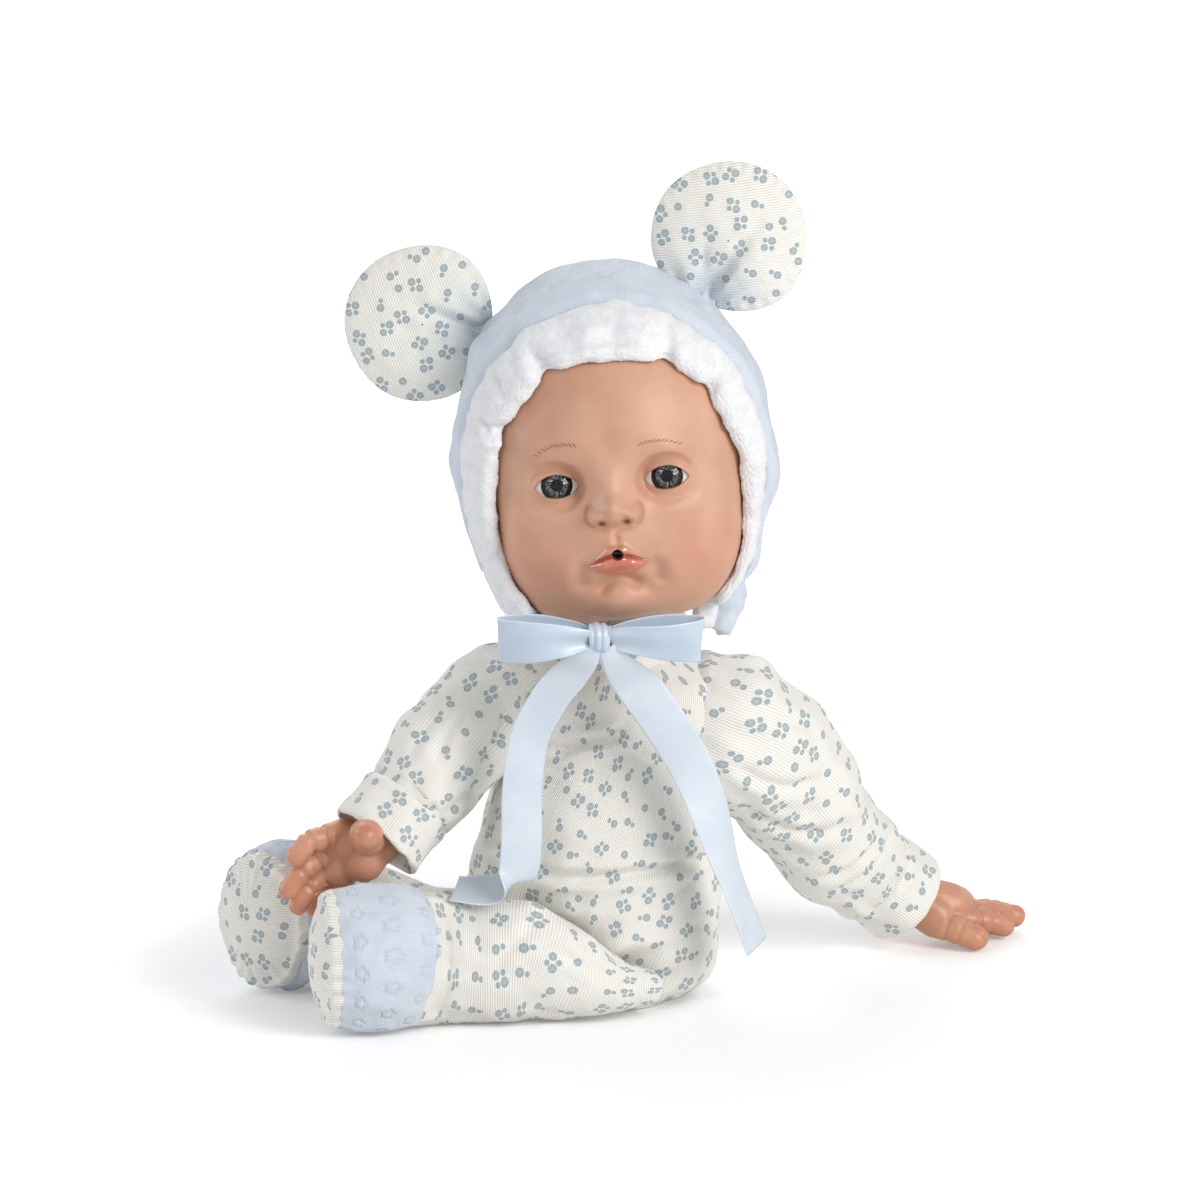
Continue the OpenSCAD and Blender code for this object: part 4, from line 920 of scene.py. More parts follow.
# Painted shade along creases: the edges of the nose's wings, under the nose, down from the mouth's corners,
# the arch under the lower lip and the lid creases.
CREASE_SHADE_WASHES = [([(6.8, -15.8), (9.3, -17.5), (9.8, -20.8), (8.3, -23.7), (5.6, -25.0)], 0.8, 0.6),
                 ([(9.0, -25.2), (5, -25.9), (0.5, -25.8)], 1.1, 0.35),
                 ([(10.8, -37.4), (12.8, -39.6), (14.0, -43.5), (13.2, -48.5)], 2.6, 0.2),
                 ([(0, -43.6), (3.5, -44.2), (6.0, -46.6), (7.6, -49.5)], 2.3, 0.2),
                 (EYE_CREASE, 0.7, 0.42)]
# Profiles of the eye's parts as distance from its axis and height along it
EYE_BALL = [(5.2, 9.2), (5.62, 9.5)] + [
    (math.sin(t) * EYE_R, math.cos(t) * EYE_R) for t in np.radians([31, 45, 60, 80, 100, 130, 160, 176])]
EYE_IRIS = [(0.05, 9.35), (2.0, 9.45), (4.2, 9.6), (5.75, 9.72)]
EYE_FRONT = [(0.02, EYE_R + 0.75), (2.0, EYE_R + 0.62), (4.2, EYE_R - 0.25), (5.6, EYE_R - 1.25),
             (6.1, EYE_R - 1.75)]
# Each brow's number of strokes, their lean in degrees and half width, and the brow's height and outward fall
BROWS = (("right", -1, 11, 64, 0.27, 5.2, 3.0), ("left", 1, 10, 50, 0.22, 3.7, 1.6))


def turn_matrix(x, y, z):
    """Turns in degrees about X, then Y, then Z."""
    a, b, c = (math.radians(v) for v in (x, y, z))
    about_x = np.array([[1, 0, 0], [0, math.cos(a), -math.sin(a)], [0, math.sin(a), math.cos(a)]])
    about_y = np.array([[math.cos(b), 0, math.sin(b)], [0, 1, 0], [-math.sin(b), 0, math.cos(b)]])
    about_z = np.array([[math.cos(c), -math.sin(c), 0], [math.sin(c), math.cos(c), 0], [0, 0, 1]])
    return about_z @ about_y @ about_x


HEAD_MATRIX = turn_matrix(*HEAD_TURN)


def from_head(p):
    """Points of the head's own frame, +X to the doll's left and the face towards -Y, put in the scene."""
    return np.asarray(p, float) @ HEAD_MATRIX.T + HEAD_AT


def hill(u, v, u0, v0, wu, wv, height, lean=0.0):
    """A hill over u, v, with its middle at u0, v0, wu and wv wide, leaning by an angle in degrees."""
    c, s = math.cos(math.radians(lean)), math.sin(math.radians(lean))
    return height * bell((u - u0) * c + (v - v0) * s, 0, wu) * bell((v - v0) * c - (u - u0) * s, 0, wv)


def hill_pair(u, v, u0, v0, wu, wv, height, lean=0.0):
    return hill(u, v, u0, v0, wu, wv, height, lean) + hill(u, v, -u0, v0, wu, wv, height, -lean)


def groove(u, v, line, width, depth):
    """A soft valley over the face along a line of points u, v, fading at its two ends."""
    d, t = line_distance(grid(u, v), curve(line, 16))
    return -depth * bell(d, 0, width) * ramp(t, 0, 0.25) * ramp(1 - t, 0, 0.25)


def groove_pair(u, v, line, width, depth):
    return groove(u, v, line, width, depth) + groove(u, v, [(-a, b) for a, b in line], width, depth)


def head_radius(d):
    """Distance of the skull and jaw, without small features, from the head's centre along unit directions."""
    x, y, z = d[..., 0], d[..., 1], d[..., 2]
    a, e = np.degrees(np.arctan2(x, -y)), np.degrees(np.arcsin(np.clip(z, -1, 1)))
    depth = np.where(y < 0, SKULL_FRONT, SKULL_BACK)
    height = np.where(z < 0, SKULL_LOW, SKULL_HIGH)
    egg = 1 / np.sqrt((x / SKULL_WIDE) ** 2 + (y / depth) ** 2 + (z / height) ** 2)
    jaw = 11 * bell(e, -61, 18) * np.exp(-((np.abs(a) / 84) ** 6))
    return egg + jaw + hill_pair(a, e, 62, -45, 26, 14, 4.5) + hill_pair(a, e, 42, -30, 20, 17, 3.0)


def eye_opening(u, v):
    """Signed distance in mm to the edge of the nearer eye's opening: an almond, negative inside."""
    x = np.abs(u) - EYE_U
    y = v - EYE_V - 0.03 * x
    return np.maximum(np.hypot(x + 0.3, y + 4.9) - 9.1, np.hypot(x, y - 6.2) - 10.5)


def lip_masks(u, v, soft=0.4):
    """Upper and lower lip as amounts from 0 to 1, and heights over the line where they meet: of the point
    and of the lips' outer edges."""
    x, y = np.abs(u), v - LIP_V
    part = -0.1 - 3.6 * np.clip(x / 11.4, 0, 1.2) ** 1.5
    top, low = np.interp(x, *LIP_TOP), np.interp(x, *LIP_LOW)
    upper = ramp(y - part, -0.25, 0.25) * ramp(top - y, -soft, soft) * ramp(11.6 - x, 0, 1.0)
    lower = ramp(part - y, -0.25, 0.25) * ramp(y - low, -soft, soft) * ramp(11.4 - x, 0, 1.2)
    return upper, lower, y - part, top - part, low - part


def lips(u, v):
    """How far the lips stand forward, in mm."""
    upper, lower, y, top, low = lip_masks(u, v)
    x = np.abs(u)
    fall = np.clip(1 - (x / 12.0) ** 2.6, 0, 1)
    roll_up = np.sin(np.clip(y / np.maximum(top, 0.5), 0, 1) * math.pi) ** 0.8
    roll_low = np.sin(np.clip(y / np.minimum(low, -0.5), 0, 1) * math.pi) ** 0.65
    beads = 1.2 * bell(x, 5.6, 2.3) * roll_low + 0.6 * bell(x, 2.8, 1.7) * roll_up
    rim = 0.6 * bell(y, top, 0.8) * ramp(8 - x, 0, 4)
    seam = -1.2 * bell(y, 0, 0.6) * ramp(11.8 - x, 0, 2)
    return fall * (upper * (1.5 * roll_up + beads) + lower * (2.4 * roll_low + beads) + seam + rim)


def forms(u, v, table):
    """Sum of a table of hills and grooves over the face."""
    kinds = {"hills": hill, "hill_pairs": hill_pair, "grooves": groove, "groove_pairs": groove_pair}
    return sum(make(u, v, *row) for kind, make in kinds.items() for row in table[kind])


def face(u, v):
    """Displacements of the skin, outward and forward, over the front of the head."""
    return forms(u, v, OUTWARD), forms(u, v, FORWARD) + lips(u, v)


def spaced(edges, counts):
    """Rows of numbers with an even step inside each stretch between edges."""
    return np.concatenate([np.linspace(a, b, n, endpoint=False) for a, b, n in zip(edges, edges[1:], counts)])


def face_skin():
    """The vinyl head: skull and jaw with the face sculpted on its front, openings at the eyes and the mouth,
    and painted colour, painted shade among it."""
    across = spaced([-180, -75, -50, 50, 75, 180], [36, 34, 236, 34, 36])
    upward = np.append(spaced([-86, -66, -54, 4, 24, 86], [22, 26, 168, 34, 36]), 86.0)
    a, e = np.meshgrid(np.radians(across), np.radians(upward))
    d = grid(np.sin(a) * np.cos(e), -np.cos(a) * np.cos(e), np.sin(e))
    p = d * head_radius(d)[..., None]
    u, v = p[..., 0].ravel(), p[..., 2].ravel()
    front = ramp(-p[..., 1].ravel(), -4, 16)
    out, forward = face(u, v)
    flat = raised(p, (out * front).reshape(a.shape), 0).reshape(-1, 3)
    y = flat[:, 1] - forward * front
    edge, hole = eye_opening(u, v), np.hypot(u, v - LIP_V)
    aside, above = np.abs(u) - EYE_U, v - EYE_V
    ball = EYE_Y - np.sqrt(np.maximum(EYE_R**2 - aside**2 - above**2, 0.0))
    over = ramp(6.5 - edge, 0, 6.0) * front * (ball < EYE_Y) * ramp(EYE_R - np.hypot(aside, above), 0, 3.5)
    y += (ball - 0.95 - y) * over
    sunk = 5.0 * ramp(-edge, -0.12, 0.55) + 6.0 * ramp(1.95 - hole, -0.1, 0.5)
    flat[:, 1] = y + (sunk - 0.35 * bell(edge, 0.7, 0.7) - 0.45 * bell(hole, 2.4, 0.5)) * front
    obj = skin("face", from_head(flat).reshape(p.shape), ends=True)
    # Blush, lip colour and painted shade, and where the skin is wet.
    tint_and_painted_shade, wet = face_paint(u, v, front, edge, hole)
    paint(obj, "tint_and_painted_shade", np.vstack([tint_and_painted_shade, np.ones((2, 3))]))
    paint(obj, "wet", np.append(wet, [0, 0]))
    dress(obj, FACE, "head", "face_vinyl", "head_shell")


def face_paint(u, v, front, edge, hole):
    """Blush, lips and painted shade in creases, corners and openings, as factors on the vinyl's own colour,
    and where it is wet.
    """
    tint_and_painted_shade = np.ones((len(u), 3))

    def wash(amount, colour):
        tint_and_painted_shade[:] *= 1 - (np.clip(amount, 0, 1) * front)[:, None] * (1 - np.array(colour))

    # Blush, and painted shade over the forehead, at the eyes' inner corners and over the upper lids.
    for row, colour in HILL_BLUSH_AND_SHADE:
        wash(hill(u, v, *row), colour)
    for row, colour in PAIR_BLUSH_AND_SHADE:
        wash(hill_pair(u, v, *row), colour)
    # Painted shade along the creases.
    for row in CREASE_SHADE_WASHES:
        wash(-groove_pair(u, v, *row), (0.72, 0.6, 0.54))
    upper, lower, y, _, _ = lip_masks(u, v, 1.0)
    lip, x = np.clip(upper + lower, 0, 1), np.abs(u)
    wash(0.85 * upper, (0.97, 0.68, 0.6))
    wash(lower, (1.0, 0.51, 0.41))
    wash(0.6 * lip * bell(u, 0, 6), (0.96, 0.76, 0.7))
    # Painted shade in the seam where the lips meet.
    wash(0.7 * bell(y, 0, 0.5) * ramp(11.6 - x, 0, 1.5), (0.62, 0.4, 0.36))
    # Painted shade: the mouth's hole made nearly black inside.
    wash(ramp(2.0 - hole, -0.2, 0.4), (0.12, 0.05, 0.04))
    # Painted shade in the nostrils' pits.
    wash(np.clip(hill_pair(u, v, 4.5, -22.9, 1.3, 0.9, 1.0, 12), 0, 1) ** 0.7, (0.5, 0.28, 0.2))
    # Painted shade round the rim of each eye opening.
    wash(0.6 * bell(edge, 0, 0.5), (0.45, 0.33, 0.27))
    # Painted shade beside the chin, below the mouth's corners.
    wash(0.4 * bell(v, -48, 5) * bell(x, 9, 4), (0.86, 0.78, 0.74))
    # Painted shade: the skin inside each eye opening made dark.
    wash(ramp(-edge, 0.3, 0.9), (0.25, 0.17, 0.14))
    return tint_and_painted_shade, (0.95 * lip + 0.3 * bell(edge, 0, 0.8)) * front


def eyes():
    """Glass eyes: a white ball, a flat painted iris with a pupil, and a clear front that bulges over it."""
    look = unit([0.02, -1.0, 0.03])
    right = unit(np.cross(look, (0, 0, 1)))
    up = np.cross(right, look)
    turn = circle(72)[:, None]
    ring = right * np.cos(turn) + up * np.sin(turn)

    def lathed(profile, count):
        r, h = profile_curve(profile, count)[..., None, None]
        return ring * r + look * h

    for side, u in (("right", -EYE_U), ("left", EYE_U)):
        centre = np.array([u, EYE_Y, EYE_V])
        piece = skin("eye_white_" + side, from_head(centre + lathed(EYE_BALL, 60)))
        dress(piece, EYE_WHITE, "head", "eye_white", "eyeballs")
        rows = lathed(EYE_IRIS, 30)
        piece = skin("iris_" + side, from_head(centre + rows), grid(rows @ right, rows @ up), seam=False)
        dress(piece, IRIS, "head", "iris", "irises")
        piece = skin("cornea_" + side, from_head(centre + lathed(EYE_FRONT, 24)))
        dress(piece, CORNEA, "head", "cornea", "corneas")


def brows():
    """Painted brows: short brown strokes that fan over each eye, fainter on the doll's left."""
    s = np.linspace(0, 1, 7)
    for side, sign, count, first_lean, half_width, rise, fall in BROWS:
        edges, faces = [], []
        for k in range(count):
            t = k / (count - 1)
            lean = math.radians(first_lean - 40 * t + 7 * math.sin(k * 2.3))
            along = (2.9 - 1.2 * abs(t - 0.3) + 0.4 * math.sin(k * 1.7)) * (s - 0.5)
            width = half_width * np.sin(math.pi * (0.14 + 0.8 * s))
            u = 11.7 + 13.6 * t + along * math.cos(lean)
            v = rise + 1.5 * math.sin(math.pi * (0.2 + 0.6 * t)) - fall * t**3 + along * math.sin(lean) * 0.75
            for aside in (-width, width):
                edges.append((sign * (u - aside * math.sin(lean)), v + aside * math.cos(lean)))
            faces += [(j, j + 1, j + 8, j + 7)[::sign] for j in range(14 * k, 14 * k + 6)]
        piece = mesh_object("brow_" + side, from_head(on_face(*np.hstack(edges), 0.07)), faces)
        dress(piece, BROW, "head", "face_vinyl")


def on_face(u, v, lift):
    """Places on the sculpted skin in front of u, v, lifted off it in mm."""
    near, far = np.full(u.shape, -75.0), np.full(u.shape, -5.0)
    for _ in range(30):
        y = (near + far) / 2
        p = grid(u, y, v)
        r = np.linalg.norm(p, axis=-1)
        outside = r > head_radius(p / r[..., None])
        near, far = np.where(outside, y, near), np.where(outside, far, y)
    out, forward = face(u, v)
    n = unit(grid(u / SKULL_WIDE**2, y / SKULL_FRONT**2, v / SKULL_HIGH**2))
    p = grid(u, y, v) + n * (out + lift)[..., None]
    p[..., 1] -= forward
    return p


# ---------------------------------------------------------------- bonnet
TILT = math.radians(20)
POLE = np.array([0, math.cos(TILT), math.sin(TILT)])
CROWN = np.array([0, -math.sin(TILT), math.cos(TILT)])
# Where the knit meets the plush brim, and the brim's inner edge: the turn round the pole, and degrees from it
SEAM = [(-180, 66), (-166, 80), (-156, 98), (-147, 114), (-135, 113), (-115, 108), (-96, 110), (-75, 107),
        (-50, 103.5), (-20, 102.5), (0, 103), (25, 104.5), (50, 106.5), (72, 111), (93, 111.5), (114, 110),
        (130, 115), (142, 121), (153, 104), (165, 80), (180, 66)]
INNER = [(-180, 71), (-166, 85), (-156, 103), (-147, 119), (-135, 119), (-115, 117), (-99, 119), (-87, 120),
         (-72, 122), (-57, 118.5), (-39, 117.5), (-24, 119.5), (-12, 122), (0, 123), (12, 122), (24, 120.5),
         (36, 125), (51, 124.5), (63, 127), (75, 128.5), (90, 129), (105, 127.5), (125, 126.5), (141, 130),
         (152, 113), (165, 86), (180, 71)]
KNIT_FOLDS = [
    ([(-44, 10, 236), (-40, -2, 244), (-30, -12, 252)], 1.2, 2.6),
    ([(-52, 0, 214), (-50, -10, 204), (-44, -18, 190)], 1.1, 2.8),
    ([(38, 6, 262), (34, -8, 262), (22, -20, 260)], 1.2, 2.6),
    ([(58, -2, 214), (56, -10, 200), (50, -16, 186)], 1.1, 3.0),
    ([(0, -14, 270), (-12, -14, 268), (-26, -10, 262)], 0.9, 3.0),
    ([(46, -12, 172), (40, -14, 164), (34, -18, 158)], 1.2, 2.2),
    ([(-44, -14, 172), (-38, -18, 164), (-32, -24, 158)], 1.2, 2.2),
]
BRIM_FOLDS = [
    ([(-21, -50, 257.5), (-8, -54, 258), (5, -54, 258.6), (17, -52, 257.6)], 1.3, 2.2),
    ([(-40, -36, 245), (-37, -42, 238), (-34, -46, 232)], 1.0, 2.2),
    ([(-44, -36, 226), (-40, -42, 219), (-37, -45, 215)], 1.0, 1.8),
]
# Where the brim is drawn in: the turn, how far and how wide in degrees, and the depth of its pleat in mm
DRAWS = ((24, 3.6, 4.2, 2.0), (57, 2.6, 4.2, 1.8), (-27, 2.6, 4.6, 1.6), (-50, 2.2, 4.6, 1.5),
         (-72, 1.2, 4.4, 0.9), (118, 1.6, 5, 1.0))
# The brim's section: part of the way from the seam to the inner edge, and height over the skull
BRIM = [(-0.10, 5.6), (-0.02, 7.6), (0.1, 9.3), (0.3, 9.6), (0.52, 9.0), (0.72, 8.2), (0.88, 6.9),
        (0.97, 5.0), (1.0, 3.2), (0.97, 1.7), (0.88, 1.0), (0.6, 0.9), (0.3, 1.2)]


def round_table(table, phi, blur=5.0):
    """A table of values by degrees round a circle, read at phi and blurred."""
    keys, values = zip(*table)
    fine = np.arange(-180, 180, 1.0)
    level = np.interp(fine, keys, values)
    kernel = bell(np.arange(-15, 16), 0, blur)
    level = np.convolve(np.concatenate([level[-15:], level, level[:15]]), kernel / kernel.sum(), mode="valid")
    return np.interp((phi + 180) % 360 - 180, np.append(fine, 180), np.append(level, level[0]))


def over_head(rho, phi, height):
    """Points of the scene at a height over the skull, rho degrees from the bonnet's pole and phi round it."""
    rho, phi = np.radians(rho)[..., None], np.radians(phi)[..., None]
    d = np.cos(rho) * POLE + np.sin(rho) * (np.cos(phi) * CROWN - np.sin(phi) * np.array([1.0, 0, 0]))
    return from_head(d * (head_radius(d) + height)[..., None])


def bonnet():
    """The knit cap with its seam, soft folds and pressed stars, over the plush lining."""
    phi = np.linspace(-180, 180, 320, endpoint=False)
    seam = round_table(SEAM, phi)
    part = np.linspace(0, 1, 150)[:, None]
    rho = 0.1 + (seam - 0.1) * part
    height = 7.7 + 2.0 * bell(np.abs(phi), 112, 42) * ramp(part, 0.3, 1.1)
    height += 1.4 * ramp(part, 0.5, 0.9) * bell(phi, 0, 60) - 1.5 * ramp(part, 0.965, 1.0)
    height += 0.5 * bell(part, 0.955, 0.02)
    turn = np.radians(phi)
    u, v = turn * 58, np.radians(rho) * 60
    stars = star_depth(u, v, 15.0, 12.5, 3.4, 3.0) * ramp(v, 62, 74) * ramp(part, 0.97, 0.9)
    p = over_head(rho, phi, height)
    gather = 0.5 * np.sin(turn * 26 + 2 * np.sin(turn * 3)) * ramp(-v, -26, -8) * ramp(v, 3, 8)
    lift = lumps(p, (0.75, 34, 91), (0.3, 13, 93)) + gather - 0.35 * stars + creases(p, KNIT_FOLDS)
    piece = skin("bonnet_knit", raised(p, lift, HEAD_AT), grid(u, v))
    # The stars' depth, which the knit also darkens as painted shade.
    paint(piece, "pressed", stars.ravel())
    dress(thickened(piece, 2.0), KNIT, "head", "blue_knit", "bonnet_shell")
    rho = 4 + (seam - 1) * np.linspace(0, 1, 60)[:, None]
    lining = skin("bonnet_lining_cloth", over_head(rho, phi, 3.6))
    dress(thickened(lining, 2.0), PLUSH, "head", "plush", "bonnet_lining")


def brim():
    """The plush brim: a soft roll from the seam to the face, drawn in unevenly along its inner edge."""
    phi = np.linspace(-180, 180, 560, endpoint=False)
    seam, inner = round_table(SEAM, phi), round_table(INNER, phi, 3.0) + 0.12 * np.sin(np.radians(phi) * 19)
    for at, depth, width, _ in DRAWS:
        inner += depth * (0.35 * bell(phi, at, 2.4 * width) - bell(phi, at, width))
    drop = inner - seam
    part, level = profile_curve(BRIM, 64)[..., None]
    height = 0.9 + (level - 0.9) * (0.55 + 0.45 * ramp(drop, 3, 15))
    p = over_head(seam + drop * part, phi, height)
    pleat = 0
    for at, _, _, depth in DRAWS:
        lean = at + 5 * (1 - part)
        fold = 0.5 * bell(phi, lean + 5, 3.4) - bell(phi, lean, 2.3)
        pleat = pleat + depth * fold * ramp(part, 0.1, 0.75)
    lift = lumps(p, (0.5, 17, 101), (0.25, 7, 103), (0.12, 1.6, 105), (0.1, 0.9, 107))
    lift += pleat * (height > 3) + creases(p, BRIM_FOLDS)
    piece = skin("bonnet_brim_plush", raised(p, lift, over_head(seam + drop / 2, phi, 4)))
    dress(piece, PLUSH, "head", "plush", "bonnet_brim")


def corner_tab():
    """The bonnet's corner that hangs below the brim on the doll's left: knit outside, plush inside."""
    a, b = np.meshgrid(np.linspace(0.02, math.pi - 0.02, 46), circle(60), indexing="ij")
    for name, material, slot, centre, size in (
        ("bonnet_corner_knit", KNIT, "blue_knit", (46.5, -12.5, 151), (6.2, 6.5, 14)),
        ("bonnet_corner_plush", PLUSH, "plush", (38.5, -16, 148.5), (5.0, 5.5, 8.5)),
    ):
        p = np.array(size) * grid(np.sin(a) * np.cos(b), np.sin(a) * np.sin(b), np.cos(a))
        p[..., 0] += 0.22 * p[..., 2]
        p = p * (1 + lumps(p + centre, (0.07, 9, 141), (0.03, 4, 143)))[..., None] + centre
        piece = skin(name, p, grid(b * 6, a * 9))
        dress(piece, material, "head", slot)


# ---------------------------------------------------------------- ears
# For each ear, the way from the head's centre to its root, the way that it points and a shift in mm
EARS = {"right": ((-0.69, 0.02, 0.724), (-0.98, 0, 0.2), (4.2, 0, -1.2)),
        "left": ((0.6, 0.02, 0.8), (0.44, 0, 0.9), (-2.2, 0, -4.2))}
EAR_R, EAR_FLAT = 28.6, 0.12


def ear(side):
    """A round ear: print cloth in front, blue knit behind, puffed over wadding and gathered at its root, with
    a painted bluish shade in front near the root.
    """
    root, out, shift = (np.array(v) for v in EARS[side])
    root, out = unit(root), unit(out)
    across, back = np.cross(out, (0, -1, 0)), np.array([0, 1.0, 0])
    centre = root * (head_radius(root) + 9.9) + out * EAR_R * (1 - EAR_FLAT) + shift
    turn = circle(200)
    pinch = np.clip(-np.cos(turn), 0, 1) ** 5
    q = np.sin(np.linspace(0.01, math.pi / 2, 64))[:, None]
    x = q * EAR_R * np.cos(turn) * (1 - EAR_FLAT * pinch) * (1 + 0.012 * np.sin(3 * turn + 1))
    z = q * EAR_R * np.sin(turn) * (1 - 0.42 * pinch) * (1 + 0.012 * np.sin(4 * turn))
    near_root = bell(x, -0.8 * EAR_R, 11)
    dent = 5.0 * near_root * bell(z, 0, 4.2) + 3.4 * bell(x, -0.35 * EAR_R, 12) * bell(z, 0.25 * x + 5, 2.8)
    dent += 1.8 * bell(x, -0.45 * EAR_R, 10) * bell(z, -0.35 * x - 9, 2.6)
    pucker = 0.35 * np.sin(turn * 34 + 3 * np.sin(turn * 2)) * bell(q, 0.94, 0.06)
    bow = -1.8 * (x / EAR_R) ** 2 - 1.5 * (z / EAR_R) ** 2
    for facing, name, material, slot, nodes, puff, seed in (
        (1, "front", PRINT["ears"], "print_rib", ("ear_fronts", "ear_wadding"), 5.6, 111),
        (-1, "back", KNIT, "blue_knit", ("ear_backs",), 5.2, 113),
    ):
        rays = 0.8 * near_root * np.sin(np.arctan2(z, x + EAR_R * 1.1) * 15 + seed) * ramp(1 - q, 0.0, 0.15)
        depth = puff * np.clip(1 - q**2.4, 0, 1) ** 0.62 - 0.15 - dent * (facing > 0) + rays + pucker
        p = centre + out * x[..., None] + across * z[..., None] - back * (facing * depth + bow)[..., None]
        soft = lumps(p, (0.5, 20, seed), (0.2, 8, seed + 1)) * (1 - q**3)
        p = from_head(p - back * (facing * soft)[..., None]).reshape(-1, 3)
        faces = [corners[::facing] for corners in grid_faces(64, 200, True)]
        piece = mesh_object(f"ear_{side}_{name}", p, faces, grid(x, z).reshape(-1, 2) * 1.03)
        # Painted shade on the front near the root: darker and bluish, standing in for the bonnet's shade and
        # blue light reflected from its knit.
        if facing > 0:
            paint(piece, "shade", (bell(x, -EAR_R, 20) * bell(z, 0, 16)).ravel())
        dress(piece, material, "head", slot, *nodes)


# ---------------------------------------------------------------- satin bow
# How far the front of each loop leans back; then the ribbons' rows: x, y, z, width and the width's direction
LOOP_LEAN = {"right": -0.1, "left": -0.42}
TAILS = {
    "left": [(2.5, -60.5, 145.5, 6, 1, 0, 0.25), (5.5, -59.0, 140.5, 10, 1, 0, 0.3),
             (9.5, -54.5, 134, 14, 1, 0, 0.4), (15.5, -51, 126, 16, 1, 0.1, 0.45),
             (29, -46, 104.5, 16, 1, 0.2, 0.45), (37.3, -43.6, 86.4, 16, 0.9, 0.45, 0.3),
             (47.3, -42, 55.5, 16, 0.5, 0.85, 0.1), (56.8, -40.4, 28, 16, 0.45, 0.88, 0.08)],
    "right": [(-2.5, -60.5, 145.5, 6, 1, 0, -0.25), (-5.5, -59.0, 140.5, 10, 1, 0, -0.35),
              (-11, -54.5, 133.5, 13, 1, 0, -0.5), (-18, -51.4, 124.5, 14, 1, 0.1, -0.6),
              (-25.5, -49.4, 109, 15, 0.85, 0.3, -0.2), (-28, -48.6, 90, 16, 0.85, 0.4, 0),
              (-28.6, -48.2, 68, 16, 0.9, 0.35, 0), (-31, -47.4, 55, 16, 0.8, 0.4, 0.4),
              (-40, -44.6, 50.8, 16, 0.2, 0.8, 0.5), (-53, -41, 50, 16, 0, 0.95, 0.3)],
}
STRAPS = {
    "left": [(31, -25, 149.2, 7, 0, 0.2, 1), (21, -40.5, 145.6, 7, 0, 0.1, 1), (10, -50.5, 146, 7, 0, 0, 1),
             (2.5, -55, 147.5, 7, 0, 0, 1)],
    "right": [(-25.5, -28, 149, 7, 0, 0.2, 1), (-18, -40.5, 145.4, 7, 0, 0.1, 1),
              (-9, -50.5, 146, 7, 0, 0, 1), (-2.5, -55, 147.5, 7, 0, 0, 1)],
}


def ribbon(name, rows, along, across=18, wave=0.25, seed=1, bow=0.0):
    """A ribbon through rows x, y, z, width and its direction, and its length; bow curves it across."""
    r = curve(rows, along)
    way, t = unit(r[:, 4:7]), unit(np.gradient(r[:, :3], axis=0))
    way = unit(way - (way * t).sum(1, keepdims=True) * t)
    s = np.linspace(-0.5, 0.5, across)
    run = run_along(r[:, :3])
    lift = bow * (0.25 - s**2) * 4 + wave * np.sin(run[:, None] / 9 + seed + 2 * s) * 2 * s
    p = r[:, None, :3] + way[:, None] * (s * r[:, 3:4])[..., None]
    p = p + np.cross(t, way)[:, None] * lift[..., None]
    piece = skin(name, p, grid(s * 16, run[:, None]), wrap=False)
    paint(piece, "edge", np.tile(ramp(np.abs(s), 0.455, 0.475), along))
    return thickened(piece, 0.35, 0.0), run[-1]


def loop(side):
    """One loop of the bow, from the knot round and back."""
    k = -1 if side == "right" else 1
    lean = LOOP_LEAN[side]
    rows = [(1.5, -59.5, 148.6, 5.5, 0, 0, 1), (6, -62.0, 148.8, 8.5, 0, -0.1, 1),
            (14, -63.9, 148.6, 12.5, 0, lean, 1), (24, -64.2, 148.2, 15.4, 0.05, lean, 1),
            (33, -61.6, 148.0, 16, 0.06, lean / 2, 1), (36.6, -58.2, 147.9, 16, 0.06, 0.02, 1),
            (33, -55.0, 148.2, 16, 0.05, 0.05, 1), (22, -54.2, 148.6, 15, 0, 0.05, 1),
            (10, -56.0, 148.8, 11, 0, 0.05, 1), (2, -58.0, 148.6, 6, 0, 0, 1)]
    piece, length = ribbon("bow_loop_" + side, np.array(rows) * (k, 1, 1, 1, k, 1, 1), 120, 26, 0.25, 3 * k)
    p = vertex_rows(piece, "co") / MM
    pleat = 1.3 * np.sin((p[:, 2] - 148.6) / 1.45 + 0.4 * k) * bell(p[:, 0], 0, 17)
    p[:, 1] -= np.where(p[:, 1] < -58, pleat, -0.4 * pleat)
    move_points(piece, p)
    dress(piece, SHADED_LOOP_SATIN, "neck", "satin", "bow_loops")


def knot():
    """The knot: the ribbon wrapped once round the loops, creased along."""
    turn = circle(90)
    s = np.linspace(-1, 1, 44)[:, None]
    girth = (1 - 0.18 * np.abs(s) ** 2.2) * (1 - 0.06 * np.cos(s * 9 + 1.2 * np.sin(turn)))
    p = grid(3.6 * s * (1 + 0.08 * np.cos(turn)), -58.2 + 4.4 * girth * np.sin(turn),
             148.5 + 5.0 * girth * np.cos(turn) - 0.5 * s)
    piece = skin("bow_knot_satin", p, grid(s * 8, turn * 5))
    paint(piece, "edge", np.repeat(ramp(np.abs(s), 0.9, 0.96), len(turn)))
    dress(thickened(piece, 0.5), SHADED_LOOP_SATIN, "neck", "satin", "bow_knot")


def tail(side):
    """A ribbon tail that hangs from the knot over the body."""
    seed = 5 if side == "left" else 8
    piece, length = ribbon("ribbon_tail_" + side + "_satin", TAILS[side], 190, 18, 0.35, seed, 0.5)
    dress(piece, SATIN, None, "satin", "ribbon_tail_" + side)
    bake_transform(piece)


def strap(side):
    """A chin strap: the ribbon folded lengthwise, from the bonnet's corner to the knot."""
    piece, length = ribbon("chin_strap_" + side, STRAPS[side], 50, 10)
    dress(piece, SATIN, None, "satin", "chin_straps")
    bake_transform(piece)


